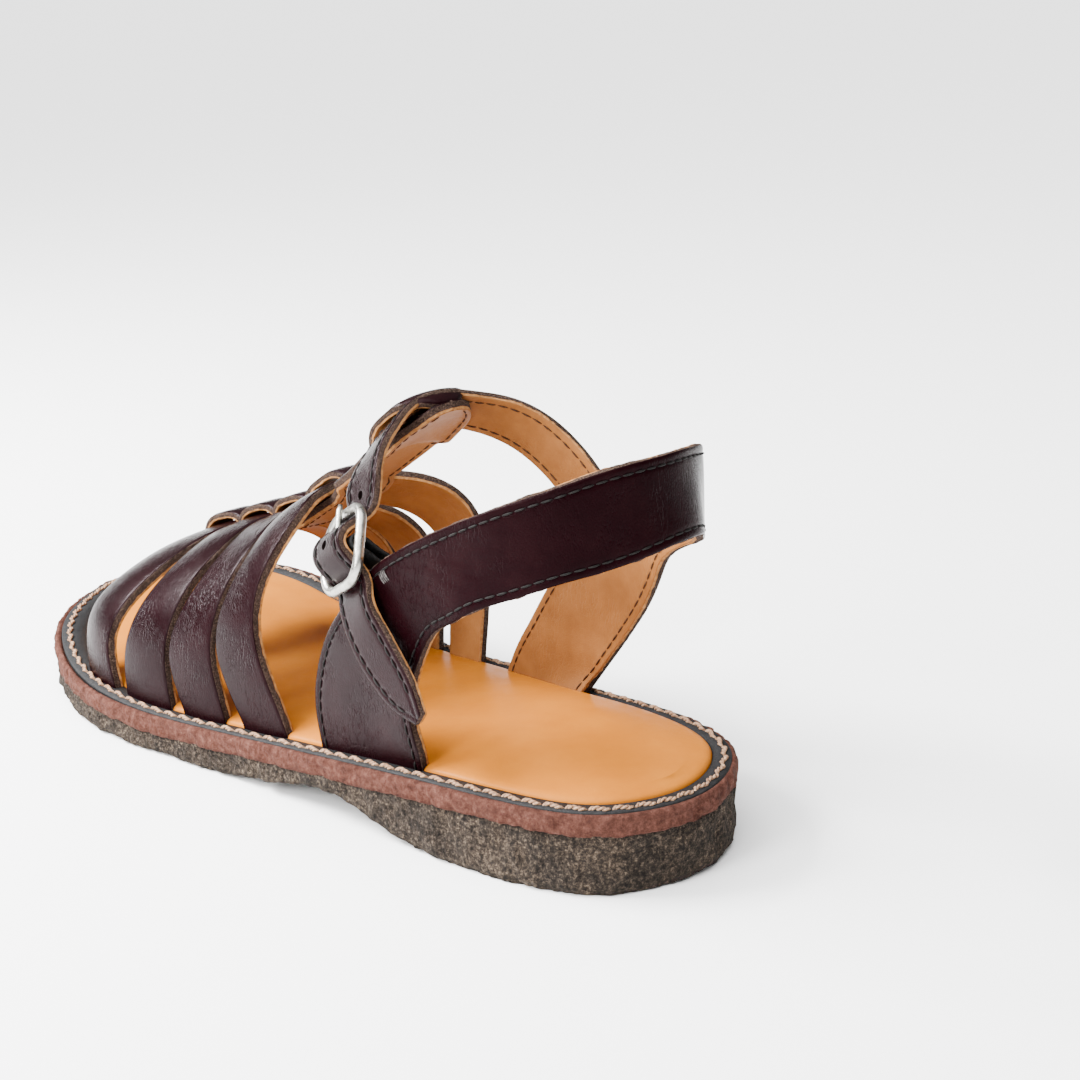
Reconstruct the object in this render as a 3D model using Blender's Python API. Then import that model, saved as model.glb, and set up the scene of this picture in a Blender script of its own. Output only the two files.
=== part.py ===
# Left buckle sandal with a welted sole and a strap upper.
# Toe toward +Y, lateral side toward -X, the floor at z = 0.
import bpy
import bmesh
import math
import numpy as np

# Driving sizes in metres.
LENGTH = 0.262
BREADTH = 0.107
HEEL_DECK = 0.0208
ARCH_LIFT = 0.0069
AXIS_SWING = 0.0134
MIDSOLE_THICK = 0.005
RECESS_DEPTH = 0.0012
WELT_THICK = 0.0013
WELT_INSET = 0.00165
STRAP_INSET = 0.006
FOOTBED_RISE = 0.0011
FOOTBED_DOME = 0.0012
LEATHER = 0.003
ANKLE_LEATHER = 0.0024
UPPER_HEIGHT = 0.103
SIDE_BULGE = 0.0025
INNER_BULGE = 0.004
CENTRE_STRIP_WIDTH = 0.020
BRIDGE_WIDTH = 0.008
BRIDGE_RISE = 0.0065
BUCKLE_WIDTH = 0.0212
BUCKLE_LENGTH = 0.022
BUCKLE_WIRE = 0.0026
CENTRE_BAR_WIRE = 0.0022
PRONG_WIRE = 0.0016
ELASTIC_WIDTH = 0.0058
ELASTIC_THICK = 0.0008
GAP = 0.0003

# Share of length, lateral and medial half widths as shares of BREADTH.
SOLE_SECTIONS = [
    (0.00, 0.000, 0.000),
    (0.03, 0.209, 0.207),
    (0.08, 0.299, 0.298),
    (0.16, 0.350, 0.335),
    (0.28, 0.385, 0.344),
    (0.40, 0.406, 0.379),
    (0.52, 0.439, 0.398),
    (0.63, 0.489, 0.448),
    (0.72, 0.508, 0.469),
    (0.80, 0.474, 0.468),
    (0.88, 0.382, 0.413),
    (0.94, 0.251, 0.312),
    (0.98, 0.121, 0.178),
    (1.00, 0.000, 0.000),
]

# Share of length, top of the sole as a share of HEEL_DECK.
DECK_LINE = [
    (0.000, 1.000),
    (0.210, 0.957),
    (0.382, 0.750),
    (0.573, 0.548),
    (0.763, 0.611),
    (0.916, 0.731),
    (1.000, 0.649),
]

# Share of length, underside of the sole as a share of ARCH_LIFT.
GROUND_LINE = [
    (0.000, 0.072),
    (0.046, 0.000),
    (0.191, 0.000),
    (0.260, 0.304),
    (0.336, 1.000),
    (0.427, 0.536),
    (0.527, 0.000),
    (0.725, 0.000),
    (0.782, 0.159),
    (0.897, 0.377),
    (1.000, 0.522),
]

# Share of length, crest across as a share of BREADTH, crest height as a share
# of UPPER_HEIGHT and medial swelling as a share of INNER_BULGE.
LAST_CREST = [
    (0.324, 0.037, 1.000, 1.000),
    (0.363, 0.037, 0.951, 1.000),
    (0.420, 0.042, 0.830, 1.000),
    (0.481, 0.047, 0.714, 1.000),
    (0.515, 0.051, 0.660, 1.000),
    (0.555, 0.056, 0.597, 0.875),
    (0.620, 0.065, 0.529, 0.750),
    (0.691, 0.075, 0.466, 0.625),
    (0.760, 0.084, 0.403, 0.500),
    (0.821, 0.098, 0.335, 0.375),
]

# Girth share from lateral base -1 to medial base 1, then the front and rear
# edges of straps one to four as shares of LENGTH.
VAMP_STRAPS = [
    (-1.00, 0.754, 0.694, 0.675, 0.603, 0.584, 0.522, 0.495, 0.429),
    (-0.80, 0.758, 0.704, 0.674, 0.609, 0.603, 0.540, 0.530, 0.468),
    (-0.60, 0.765, 0.698, 0.666, 0.605, 0.595, 0.538, 0.530, 0.479),
    (-0.40, 0.758, 0.689, 0.662, 0.603, 0.591, 0.534, 0.525, 0.471),
    (-0.15, 0.752, 0.687, 0.676, 0.616, 0.608, 0.552, 0.544, 0.488),
    (0.15, 0.746, 0.685, 0.679, 0.618, 0.611, 0.555, 0.546, 0.481),
    (0.40, 0.733, 0.674, 0.666, 0.603, 0.595, 0.536, 0.517, 0.447),
    (0.60, 0.729, 0.670, 0.658, 0.595, 0.582, 0.521, 0.494, 0.427),
    (0.80, 0.737, 0.674, 0.660, 0.595, 0.576, 0.511, 0.485, 0.426),
    (1.00, 0.744, 0.681, 0.662, 0.595, 0.573, 0.508, 0.483, 0.431),
]

# Outer face of the quarter and heel strap, from the lateral welt round the
# heel to the medial welt. Front or upper edge (x, y, z), then rear or lower
# edge (x, y, z), as shares of BREADTH, LENGTH and UPPER_HEIGHT.
QUARTER_ROWS = [
    (-0.325, 0.375, 0.165, -0.323, 0.238, 0.189),
    (-0.327, 0.385, 0.243, -0.327, 0.237, 0.243),
    (-0.333, 0.379, 0.350, -0.331, 0.245, 0.320),
    (-0.340, 0.360, 0.456, -0.336, 0.240, 0.408),
    (-0.351, 0.324, 0.568, -0.340, 0.224, 0.495),
    (-0.357, 0.278, 0.687, -0.344, 0.202, 0.573),
    (-0.357, 0.235, 0.761, -0.346, 0.177, 0.612),
    (-0.346, 0.177, 0.841, -0.339, 0.151, 0.654),
    (-0.323, 0.130, 0.899, -0.316, 0.120, 0.689),
    (-0.262, 0.082, 0.953, -0.254, 0.075, 0.740),
    (-0.159, 0.052, 0.990, -0.145, 0.042, 0.773),
    (-0.028, 0.042, 0.998, -0.028, 0.027, 0.799),
    (0.084, 0.051, 0.988, 0.093, 0.037, 0.790),
    (0.178, 0.069, 0.967, 0.168, 0.062, 0.753),
    (0.252, 0.093, 0.942, 0.241, 0.085, 0.715),
    (0.310, 0.130, 0.899, 0.301, 0.124, 0.664),
    (0.340, 0.188, 0.830, 0.318, 0.152, 0.618),
    (0.350, 0.240, 0.768, 0.327, 0.165, 0.570),
    (0.352, 0.275, 0.690, 0.330, 0.175, 0.516),
    (0.349, 0.288, 0.600, 0.331, 0.188, 0.456),
    (0.343, 0.305, 0.505, 0.329, 0.203, 0.396),
    (0.337, 0.325, 0.415, 0.326, 0.219, 0.338),
    (0.331, 0.345, 0.325, 0.322, 0.235, 0.281),
    (0.327, 0.365, 0.240, 0.318, 0.248, 0.233),
    (0.325, 0.383, 0.165, 0.314, 0.259, 0.189),
]

# Outer face of the ankle strap from the medial quarter over the instep to
# the buckle, in the same columns.
ANKLE_ROWS = [
    (0.348, 0.279, 0.612, 0.351, 0.225, 0.684),
    (0.346, 0.303, 0.694, 0.350, 0.252, 0.767),
    (0.323, 0.328, 0.767, 0.331, 0.281, 0.850),
    (0.277, 0.351, 0.827, 0.290, 0.307, 0.920),
    (0.211, 0.372, 0.872, 0.221, 0.331, 0.969),
    (0.131, 0.388, 0.903, 0.136, 0.347, 0.996),
    (0.047, 0.396, 0.924, 0.049, 0.353, 1.014),
    (-0.042, 0.395, 0.917, -0.034, 0.356, 1.006),
    (-0.121, 0.385, 0.885, -0.112, 0.346, 0.981),
    (-0.193, 0.375, 0.847, -0.183, 0.333, 0.948),
    (-0.247, 0.364, 0.794, -0.247, 0.318, 0.889),
]

# The free tail below the buckle, in the same columns.
TAIL_ROWS = [
    (-0.389, 0.295, 0.481, -0.393, 0.254, 0.575),
    (-0.391, 0.266, 0.410, -0.393, 0.230, 0.505),
    (-0.391, 0.238, 0.369, -0.393, 0.212, 0.443),
    (-0.391, 0.209, 0.355, -0.392, 0.202, 0.383),
]

# Centre of the buckle as shares of BREADTH, LENGTH and UPPER_HEIGHT.
BUCKLE_SPOT = (-0.350, 0.317, 0.711)
# Direction across the strap and down the strap at the buckle.
BUCKLE_ACROSS = (0.13, 0.85, -0.51)
BUCKLE_DOWN = (-0.48, -0.40, -0.78)

for item in list(bpy.data.objects):
    bpy.data.objects.remove(item, do_unlink=True)

home = bpy.data.collections.new("buckle_sandal")
bpy.context.scene.collection.children.link(home)
joiners = bpy.data.collections.new("upper_parts")
bpy.context.scene.collection.children.link(joiners)
slots = bpy.data.collections.new("upper_slots")
bpy.context.scene.collection.children.link(slots)


def material(name, colour, rough, metal=0.0):
    mat = bpy.data.materials.new(name)
    mat.use_nodes = True
    shader = mat.node_tree.nodes["Principled BSDF"]
    shader.inputs["Base Color"].default_value = (*colour, 1.0)
    shader.inputs["Roughness"].default_value = rough
    shader.inputs["Metallic"].default_value = metal
    return mat


def spline(knots, values, at):
    # Natural cubic spline through the knots, for one or more columns.
    knots = np.asarray(knots, float)
    values = np.asarray(values, float)
    flat = values.ndim == 1
    if flat:
        values = values[:, None]
    n = len(knots)
    h = np.diff(knots)
    a = np.zeros((n, n))
    b = np.zeros((n, values.shape[1]))
    a[0, 0] = 1.0
    a[-1, -1] = 1.0
    for i in range(1, n - 1):
        a[i, i - 1] = h[i - 1]
        a[i, i] = 2.0 * (h[i - 1] + h[i])
        a[i, i + 1] = h[i]
        rise = (values[i + 1] - values[i]) / h[i]
        b[i] = 6.0 * (rise - (values[i] - values[i - 1]) / h[i - 1])
    m = np.linalg.solve(a, b)
    at = np.asarray(at, float)
    x = np.clip(at, knots[0], knots[-1]).ravel()
    k = np.clip(np.searchsorted(knots, x) - 1, 0, n - 2)
    left = (knots[k + 1] - x)[:, None]
    right = (x - knots[k])[:, None]
    step = h[k][:, None]
    out = (m[k] * left ** 3 + m[k + 1] * right ** 3) / (6.0 * step)
    out = out + (values[k] / step - m[k] * step / 6.0) * left
    out = out + (values[k + 1] / step - m[k + 1] * step / 6.0) * right
    if flat:
        return out[:, 0].reshape(at.shape)
    return out.reshape(at.shape + (values.shape[1],))


def closed_spline(points, count):
    # The loop is repeated three times so the middle turn joins smoothly.
    points = np.asarray(points, float)
    tripled = np.vstack([points, points, points, points[:1]])
    chord = np.linalg.norm(np.diff(tripled, axis=0), axis=1) ** 0.5
    knots = np.concatenate([[0.0], np.cumsum(chord)])
    n = len(points)
    start = knots[n]
    turn = knots[2 * n] - start
    at = start + turn * np.arange(count) / count
    return spline(knots, tripled, at)


def sole_outline():
    # Heel tip first, up the lateral side to the toe, back down the medial.
    table = np.array(SOLE_SECTIONS)
    along = table[:, 0] * LENGTH
    bend = AXIS_SWING * table[:, 0] ** 2.2
    lateral = np.stack([bend - table[:, 1] * BREADTH, along], axis=1)
    medial = np.stack([bend + table[:, 2] * BREADTH, along], axis=1)
    return closed_spline(np.vstack([lateral, medial[-2:0:-1]]), 4000)


OUTLINE = sole_outline()
HEEL_AT = int(np.argmin(OUTLINE[:, 1]))
OUTLINE = np.roll(OUTLINE, -HEEL_AT, axis=0)
TOE_AT = int(np.argmax(OUTLINE[:, 1]))
TANGENT = np.roll(OUTLINE, -8, axis=0) - np.roll(OUTLINE, 8, axis=0)
TANGENT = TANGENT / np.linalg.norm(TANGENT, axis=1)[:, None]
INWARD = np.stack([TANGENT[:, 1], -TANGENT[:, 0]], axis=1)


def inset(distance):
    return OUTLINE + INWARD * distance


def deck(along):
    table = np.array(DECK_LINE)
    return HEEL_DECK * spline(table[:, 0], table[:, 1], np.asarray(along) / LENGTH)


def ground(along):
    table = np.array(GROUND_LINE)
    lift = spline(table[:, 0], table[:, 1], np.asarray(along) / LENGTH)
    return ARCH_LIFT * np.maximum(lift, 0.0)


def seat(along):
    # Height at which straps, welt and footbed stand on the midsole.
    return deck(along) - RECESS_DEPTH + GAP


def side_x(along, side, distance):
    # x of the inset loop on one side (-1 lateral, 1 medial) at a given y.
    loop = inset(distance)
    half = loop[:TOE_AT] if side < 0 else loop[TOE_AT:][::-1]
    return np.interp(along, half[:, 1], half[:, 0])


def strap_windows(side):
    # Rear and front y of every strap that stands on this side of the sole.
    row = VAMP_STRAPS[0] if side < 0 else VAMP_STRAPS[-1]
    pairs = [(row[2 * k + 2] * LENGTH, row[2 * k + 1] * LENGTH) for k in range(4)]
    end = QUARTER_ROWS[0] if side < 0 else QUARTER_ROWS[-1]
    pairs.append((end[4] * LENGTH, end[1] * LENGTH))
    return sorted(pairs)


def stations(count, with_notches):
    # Two lists of outline indices, heel to toe, one for each side.
    share = 0.5 - 0.5 * np.cos(np.pi * np.arange(1, count) / count)
    share = 0.55 * share + 0.45 * np.arange(1, count) / count
    sides = []
    middle = inset(STRAP_INSET + LEATHER / 2)
    for side in (-1, 1):
        span = TOE_AT if side < 0 else len(OUTLINE) - TOE_AT
        steps = share * span
        notch = np.zeros(len(steps))
        if with_notches:
            loop = middle[:TOE_AT] if side < 0 else middle[TOE_AT:][::-1]
            marks = []
            for rear, front in strap_windows(side):
                low = rear - 3.6 * GAP
                high = front + 3.6 * GAP
                y = np.array([low - 0.0002, low, high, high + 0.0002])
                mark = np.interp(y, loop[:, 1], np.arange(len(loop)))
                clear = (steps < mark[0] - 4) | (steps > mark[3] + 4)
                inner = (steps > mark[1] + 4) & (steps < mark[2] - 4)
                steps = steps[clear | inner]
                marks.append(mark)
            notch = np.zeros(len(steps))
            for mark in marks:
                notch[(steps > mark[1]) & (steps < mark[2])] = 1.0
            steps = np.concatenate([steps] + marks)
            notch = np.concatenate([notch] + [[0.0, 1.0, 1.0, 0.0]] * len(marks))
            order = np.argsort(steps)
            steps = steps[order]
            notch = notch[order]
        sides.append((steps, notch))
    count = max(len(sides[0][0]), len(sides[1][0]))
    paired = []
    for steps, notch in sides:
        while len(steps) < count:
            # Split the widest plain gap so both sides have equal counts.
            gaps = np.diff(steps) * (notch[1:] == notch[:-1])
            at = int(np.argmax(gaps)) + 1
            steps = np.insert(steps, at, (steps[at - 1] + steps[at]) / 2)
            notch = np.insert(notch, at, notch[at])
        paired.append((steps, notch))
    (lat, lat_notch), (med, med_notch) = paired
    med = len(OUTLINE) - med
    index = np.concatenate([[0], lat, [TOE_AT], med[::-1]])
    index = np.round(index).astype(int) % len(OUTLINE)
    notch = np.concatenate([[0], lat_notch, [0], med_notch[::-1]])
    return index, notch


def shell(name, rings, mat, columns=1, dome=0.0, annulus=False):
    # Rings run from the underside round the rim to the top. The two ends are
    # closed with rows ruled from the lateral to the medial side.
    count = len(rings[0])
    half = count // 2
    verts = [p for ring in rings for p in ring]
    faces = []
    pairs = list(zip(range(len(rings) - 1), range(1, len(rings))))
    if annulus:
        pairs.append((len(rings) - 1, 0))
    for low, high in pairs:
        for i in range(count):
            j = (i + 1) % count
            faces.append((low * count + i, low * count + j,
                          high * count + j, high * count + i))
    if not annulus:
        for ring_at, splits, lift in ((0, 1, 0.0), (len(rings) - 1, columns, dome)):
            base = ring_at * count
            ring = rings[ring_at]
            rows = []
            for i in range(1, half):
                row = [base + i]
                for c in range(1, splits):
                    u = c / splits
                    p = ring[i] * (1 - u) + ring[count - i] * u
                    ends = min(1.0, 4.0 * min(i, half - i) / half)
                    rise = lift * ends * (1.0 - (2.0 * u - 1.0) ** 4)
                    verts.append(p + np.array([0.0, 0.0, rise]))
                    row.append(len(verts) - 1)
                row.append(base + count - i)
                rows.append(row)
            for row, after in zip(rows[:-1], rows[1:]):
                for c in range(splits):
                    faces.append((row[c], row[c + 1], after[c + 1], after[c]))
            for c in range(splits):
                faces.append((base, rows[0][c], rows[0][c + 1]))
                faces.append((base + half, rows[-1][c], rows[-1][c + 1]))
    return build(name, verts, faces, mat, home)


def build(name, verts, faces, mat, where):
    mesh = bpy.data.meshes.new(name)
    mesh.from_pydata([tuple(v) for v in verts], [], faces)
    mesh.materials.append(mat)
    tidy = bmesh.new()
    tidy.from_mesh(mesh)
    bmesh.ops.remove_doubles(tidy, verts=tidy.verts, dist=0.000001)
    bmesh.ops.triangulate(tidy, faces=[f for f in tidy.faces if len(f.verts) > 3])
    bmesh.ops.recalc_face_normals(tidy, faces=tidy.faces)
    if tidy.calc_volume(signed=True) < 0:
        bmesh.ops.reverse_faces(tidy, faces=tidy.faces)
    tidy.to_mesh(mesh)
    tidy.free()
    thing = bpy.data.objects.new(name, mesh)
    where.objects.link(thing)
    return thing


def ring_at(index, distance, height):
    # One ring of points at an inset from the outline. Height is a function of y.
    flat = OUTLINE[index] + INWARD[index] * np.asarray(distance)[..., None]
    return np.column_stack([flat, height(flat[:, 1])])


def sole_parts():
    plain, _ = stations(40, False)
    one = np.ones(len(plain))
    under = (lambda y: ground(y))
    lip = (lambda y: ground(y) + 0.0015)
    top = (lambda y: deck(y) - MIDSOLE_THICK - GAP)
    shell("outsole", [
        ring_at(plain, one * 0.0020, under),
        ring_at(plain, one * 0.0006, lip),
        ring_at(plain, one * 0.0008, top),
    ], OUTSOLE_MAT)
    shell("midsole", [
        ring_at(plain, one * 0.0004, lambda y: deck(y) - MIDSOLE_THICK),
        ring_at(plain, one * 0.0, lambda y: deck(y) - 0.75 * MIDSOLE_THICK),
        ring_at(plain, one * 0.0, lambda y: deck(y) - 0.2 * MIDSOLE_THICK),
        ring_at(plain, one * 0.0005, lambda y: deck(y)),
        ring_at(plain, one * (WELT_INSET - 0.0004), lambda y: deck(y)),
        ring_at(plain, one * (WELT_INSET - GAP), lambda y: deck(y) - RECESS_DEPTH),
    ], MIDSOLE_MAT)
    welt_in = STRAP_INSET - 4 * GAP
    shell("welt", [
        ring_at(plain, one * WELT_INSET, seat),
        ring_at(plain, one * WELT_INSET, lambda y: seat(y) + WELT_THICK),
        ring_at(plain, one * welt_in, lambda y: seat(y) + WELT_THICK),
        ring_at(plain, one * welt_in, seat),
    ], WELT_MAT, annulus=True)
    index, notch = stations(34, True)
    edge = STRAP_INSET + notch * (LEATHER + 4.5 * GAP)
    rim = (lambda y: deck(y) + FOOTBED_RISE)
    shell("footbed", [
        ring_at(index, edge, seat),
        ring_at(index, edge, lambda y: rim(y) - 0.0006),
        ring_at(index, edge + 0.0003, lambda y: rim(y) - 0.0002),
        ring_at(index, edge + 0.0010, rim),
    ], FOOTBED_MAT, columns=6, dome=FOOTBED_DOME)


def normals(grid):
    # Unit normals of a grid of points from its own neighbours.
    d_row = np.gradient(grid, axis=0)
    d_col = np.gradient(grid, axis=1)
    n = np.cross(d_row, d_col)
    return n / np.linalg.norm(n, axis=2)[:, :, None]


def slab(name, face, other, mat, where):
    # A closed sheet between two grids of the same shape.
    rows, cols = face.shape[:2]
    verts = list(face.reshape(-1, 3)) + list(other.reshape(-1, 3))
    size = rows * cols
    faces = []
    for r in range(rows - 1):
        for c in range(cols - 1):
            a = r * cols + c
            quad = (a, a + 1, a + cols + 1, a + cols)
            faces.append(quad)
            faces.append(tuple(size + k for k in reversed(quad)))
    rim = [(0, c) for c in range(cols)]
    rim += [(r, cols - 1) for r in range(1, rows)]
    rim += [(rows - 1, c) for c in range(cols - 2, -1, -1)]
    rim += [(r, 0) for r in range(rows - 2, 0, -1)]
    for (r, c), (s, d) in zip(rim, rim[1:] + rim[:1]):
        a = r * cols + c
        b = s * cols + d
        faces.append((b, a, size + a, size + b))
    return build(name, verts, faces, mat, where)


def last_point(y, girth):
    # Inner face of the vamp: a superellipse across the foot at each y.
    table = np.array(LAST_CREST)
    crest = spline(table[:, 0], table[:, 1:], y / LENGTH)
    centre = crest[..., 0] * BREADTH
    top = crest[..., 1] * UPPER_HEIGHT
    swell = np.where(girth < 0, SIDE_BULGE, INNER_BULGE * crest[..., 2])
    depth = STRAP_INSET + LEATHER
    base = np.where(girth < 0, side_x(y, -1, depth), side_x(y, 1, depth))
    foot = seat(y)
    turn = (1.0 - np.abs(girth)) * np.pi / 2
    power = 2.0 / 2.35
    reach = np.abs(base - centre) * np.abs(np.cos(turn)) ** power
    lobe = np.abs(np.sin(np.pi * np.clip((1.0 - np.abs(girth)) / 0.75, 0.0, 1.0))) ** 1.5
    x = centre + np.where(girth < 0, -1.0, 1.0) * (reach + swell * lobe)
    z = foot + (top - foot) * np.abs(np.sin(turn)) ** power
    return np.stack([x, y, z], axis=-1)


def level_ends(face, other):
    # Both end rows stand flat on the midsole.
    for end in (0, -1):
        other[end, :, 2] = face[end, :, 2]


def vamp_strap(number):
    table = np.array(VAMP_STRAPS)
    ease = np.linspace(-1.0, 1.0, 31)
    girth = np.sign(ease) * np.abs(ease) ** 0.9
    edges = spline(table[:, 0], table[:, 2 * number - 1:2 * number + 1], girth)
    across = np.linspace(0.0, 1.0, 3)
    y = LENGTH * (edges[:, :1] * (1 - across) + edges[:, 1:] * across)
    girth = np.repeat(girth[:, None], 3, axis=1)
    inner = last_point(y, girth)
    n = normals(inner)
    n = n * np.where(n[15, 1, 2] > 0, 1.0, -1.0)
    outer = inner + n * LEATHER
    level_ends(inner, outer)
    where = joiners
    return slab("vamp_strap_%d" % number, outer, inner, UPPER_MAT, where)


def crest_height(y, offset):
    # Height of the last close to its crest, offset measured across.
    table = np.array(LAST_CREST)
    crest = spline(table[:, 0], table[:, 1:], y / LENGTH)
    foot = seat(y)
    reach = 0.36 * BREADTH
    fall = (1.0 - np.abs(offset / reach) ** 2.35) ** (1.0 / 2.35)
    x = crest[..., 0] * BREADTH + offset
    return x, foot + (crest[..., 1] * UPPER_HEIGHT - foot) * fall


def centre_strip():
    table = np.array(VAMP_STRAPS)
    mid = spline(table[:, 0], table[:, 1:], np.array(0.0))
    front = (mid[0] + 0.012) * LENGTH
    rear = 0.338 * LENGTH
    marks = [front - 0.002]
    windows = [(mid[2 * k + 1] * LENGTH, mid[2 * k] * LENGTH) for k in range(4)]
    ankle = ANKLE_ROWS[6]
    windows.append((ankle[4] * LENGTH, ankle[1] * LENGTH))
    for low, high in windows:
        marks += [low - 0.0004, low + 0.002, (low + high) / 2, high - 0.002, high + 0.0004]
    marks = sorted(m for m in marks if rear + 0.002 < m < front - 0.0021)
    y = np.array([rear] + marks + [front])
    extra = (y[1:] + y[:-1]) / 2
    wide = np.diff(y) > 0.006
    y = np.sort(np.concatenate([y, extra[wide]]))
    half = CENTRE_STRIP_WIDTH / 2
    ridge = BRIDGE_WIDTH / 2
    across = np.array([-1.0, -ridge / half - 0.06, -ridge / half, 0.0,
                       ridge / half, ridge / half + 0.06, 1.0])
    share = (y - rear) / (front - rear)
    width = 1.0 + 0.25 * np.exp(-((share - 0.12) / 0.10) ** 2)
    width = width * np.clip((share / 0.04 + 0.35), 0.35, 1.0)
    width = width * np.clip(((1.0 - share) / 0.03 + 0.6), 0.6, 1.0)
    offset = half * width[:, None] * across[None, :]
    yy = np.repeat(y[:, None], len(across), axis=1)
    x, z = crest_height(yy, offset)
    base = np.stack([x, yy, z], axis=2)
    n = normals(base)
    n = n * np.where(n[3, 3, 2] > 0, 1.0, -1.0)
    over = np.zeros(len(y))
    for low, high in windows:
        inside = (y - low) * (high - y) > 0
        deep = np.minimum(y - low, high - y) / 0.002
        over = np.where(inside, np.maximum(over, np.clip(deep, 0.0, 1.0)), over)
    middle = np.array([0.0, 0.0, 1.0, 1.0, 1.0, 0.0, 0.0])
    lift = 0.0005 + (BRIDGE_RISE - 0.0005) * over[:, None] * middle[None, :]
    outer = base + n * lift[:, :, None]
    inner = base - n * (LEATHER - 0.0006)
    return slab("centre_strip", outer, inner, UPPER_MAT, joiners)


def edge_rows(table):
    scale = np.array([BREADTH, LENGTH, UPPER_HEIGHT] * 2)
    return np.array(table) * scale


def band(name, rows, count, thick, outward, where, ends_down=False):
    # A strip ruled between two smooth edge lines, with its thickness inward.
    front = rows[:, :3]
    rear = rows[:, 3:]
    step = np.linalg.norm(np.diff((front + rear) / 2, axis=0), axis=1)
    knots = np.concatenate([[0.0], np.cumsum(step)])
    at = np.linspace(0.0, knots[-1], count)
    line = spline(knots, rows, at)
    share = np.linspace(0.0, 1.0, 3)[None, :, None]
    outer = line[:, None, :3] * (1 - share) + line[:, None, 3:] * share
    n = normals(outer)
    probe = count // 2
    n = n * np.where(n[probe, 1] @ outward(outer[probe, 1]) > 0, 1.0, -1.0)
    inner = outer - n * thick
    if ends_down:
        level_ends(outer, inner)
    return slab(name, outer, inner, UPPER_MAT, where)


def quarter():
    rows = edge_rows(QUARTER_ROWS)
    for end, side in ((0, -1), (-1, 1)):
        for at in (0, 3):
            y = rows[end, at + 1]
            rows[end, at] = side_x(y, side, STRAP_INSET)
            rows[end, at + 2] = seat(y)
    middle = np.array([0.0, 0.25 * LENGTH, 0.0])
    flat = np.array([1.0, 1.0, 0.0])
    return band("upper", rows, 57, LEATHER, lambda p: (p - middle) * flat, home, True)


def unit(v):
    v = np.array(v, float)
    return v / np.linalg.norm(v)


def buckle_frame_axes():
    across = unit(BUCKLE_ACROSS)
    down = np.array(BUCKLE_DOWN)
    down = unit(down - across * (down @ across))
    out = np.cross(across, down)
    out = out if out[0] < 0 else -out
    spot = np.array(BUCKLE_SPOT) * np.array([BREADTH, LENGTH, UPPER_HEIGHT])
    return spot, across, down, out


def ankle_strap():
    spot, across, down, out = buckle_frame_axes()
    bar = BUCKLE_LENGTH / 2 - BUCKLE_WIRE / 2
    half = 0.345 * BUCKLE_WIDTH
    under = -(BUCKLE_WIRE / 2 + GAP + 0.0006)
    over = CENTRE_BAR_WIRE / 2 + 2 * GAP + ELASTIC_THICK + 0.0003 + ANKLE_LEATHER
    crossing = []
    for a, h in ((-bar - 0.002, under - 0.0006), (-bar, under), (-0.0018, over),
                 (0.0018, over), (bar, under), (bar + 0.002, under - 0.0004)):
        mid = spot + down * a + out * h
        crossing.append(np.concatenate([mid + across * half, mid - across * half]))
    rows = np.vstack([edge_rows(ANKLE_ROWS), crossing, edge_rows(TAIL_ROWS)])
    middle = np.array([0.0, 0.36 * LENGTH, 0.5 * UPPER_HEIGHT])
    return band("ankle_strap", rows, 70, ANKLE_LEATHER, lambda p: p - middle, joiners)


def tube(path, radius, closed, sides=8):
    # Rings of a round wire along a path, with its cap faces when open.
    path = np.asarray(path, float)
    count = len(path)
    if closed:
        along = np.roll(path, -1, axis=0) - np.roll(path, 1, axis=0)
    else:
        along = np.gradient(path, axis=0)
    along = along / np.linalg.norm(along, axis=1)[:, None]
    ref = unit(np.cross(along[0], unit(along.mean(axis=0) + [0.3, 0.5, 0.7])))
    verts = []
    for p, t in zip(path, along):
        ref = unit(ref - t * (ref @ t))
        other = np.cross(t, ref)
        for k in range(sides):
            turn = 2 * math.pi * k / sides
            verts.append(p + radius * (ref * math.cos(turn) + other * math.sin(turn)))
    faces = []
    for r in range(count if closed else count - 1):
        s = (r + 1) % count
        for k in range(sides):
            m = (k + 1) % sides
            faces.append((r * sides + k, r * sides + m, s * sides + m, s * sides + k))
    if not closed:
        faces.append(tuple(range(sides)))
        faces.append(tuple((count - 1) * sides + k for k in range(sides)))
    return verts, faces


def smooth(thing):
    for face in thing.data.polygons:
        face.use_smooth = True


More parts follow.
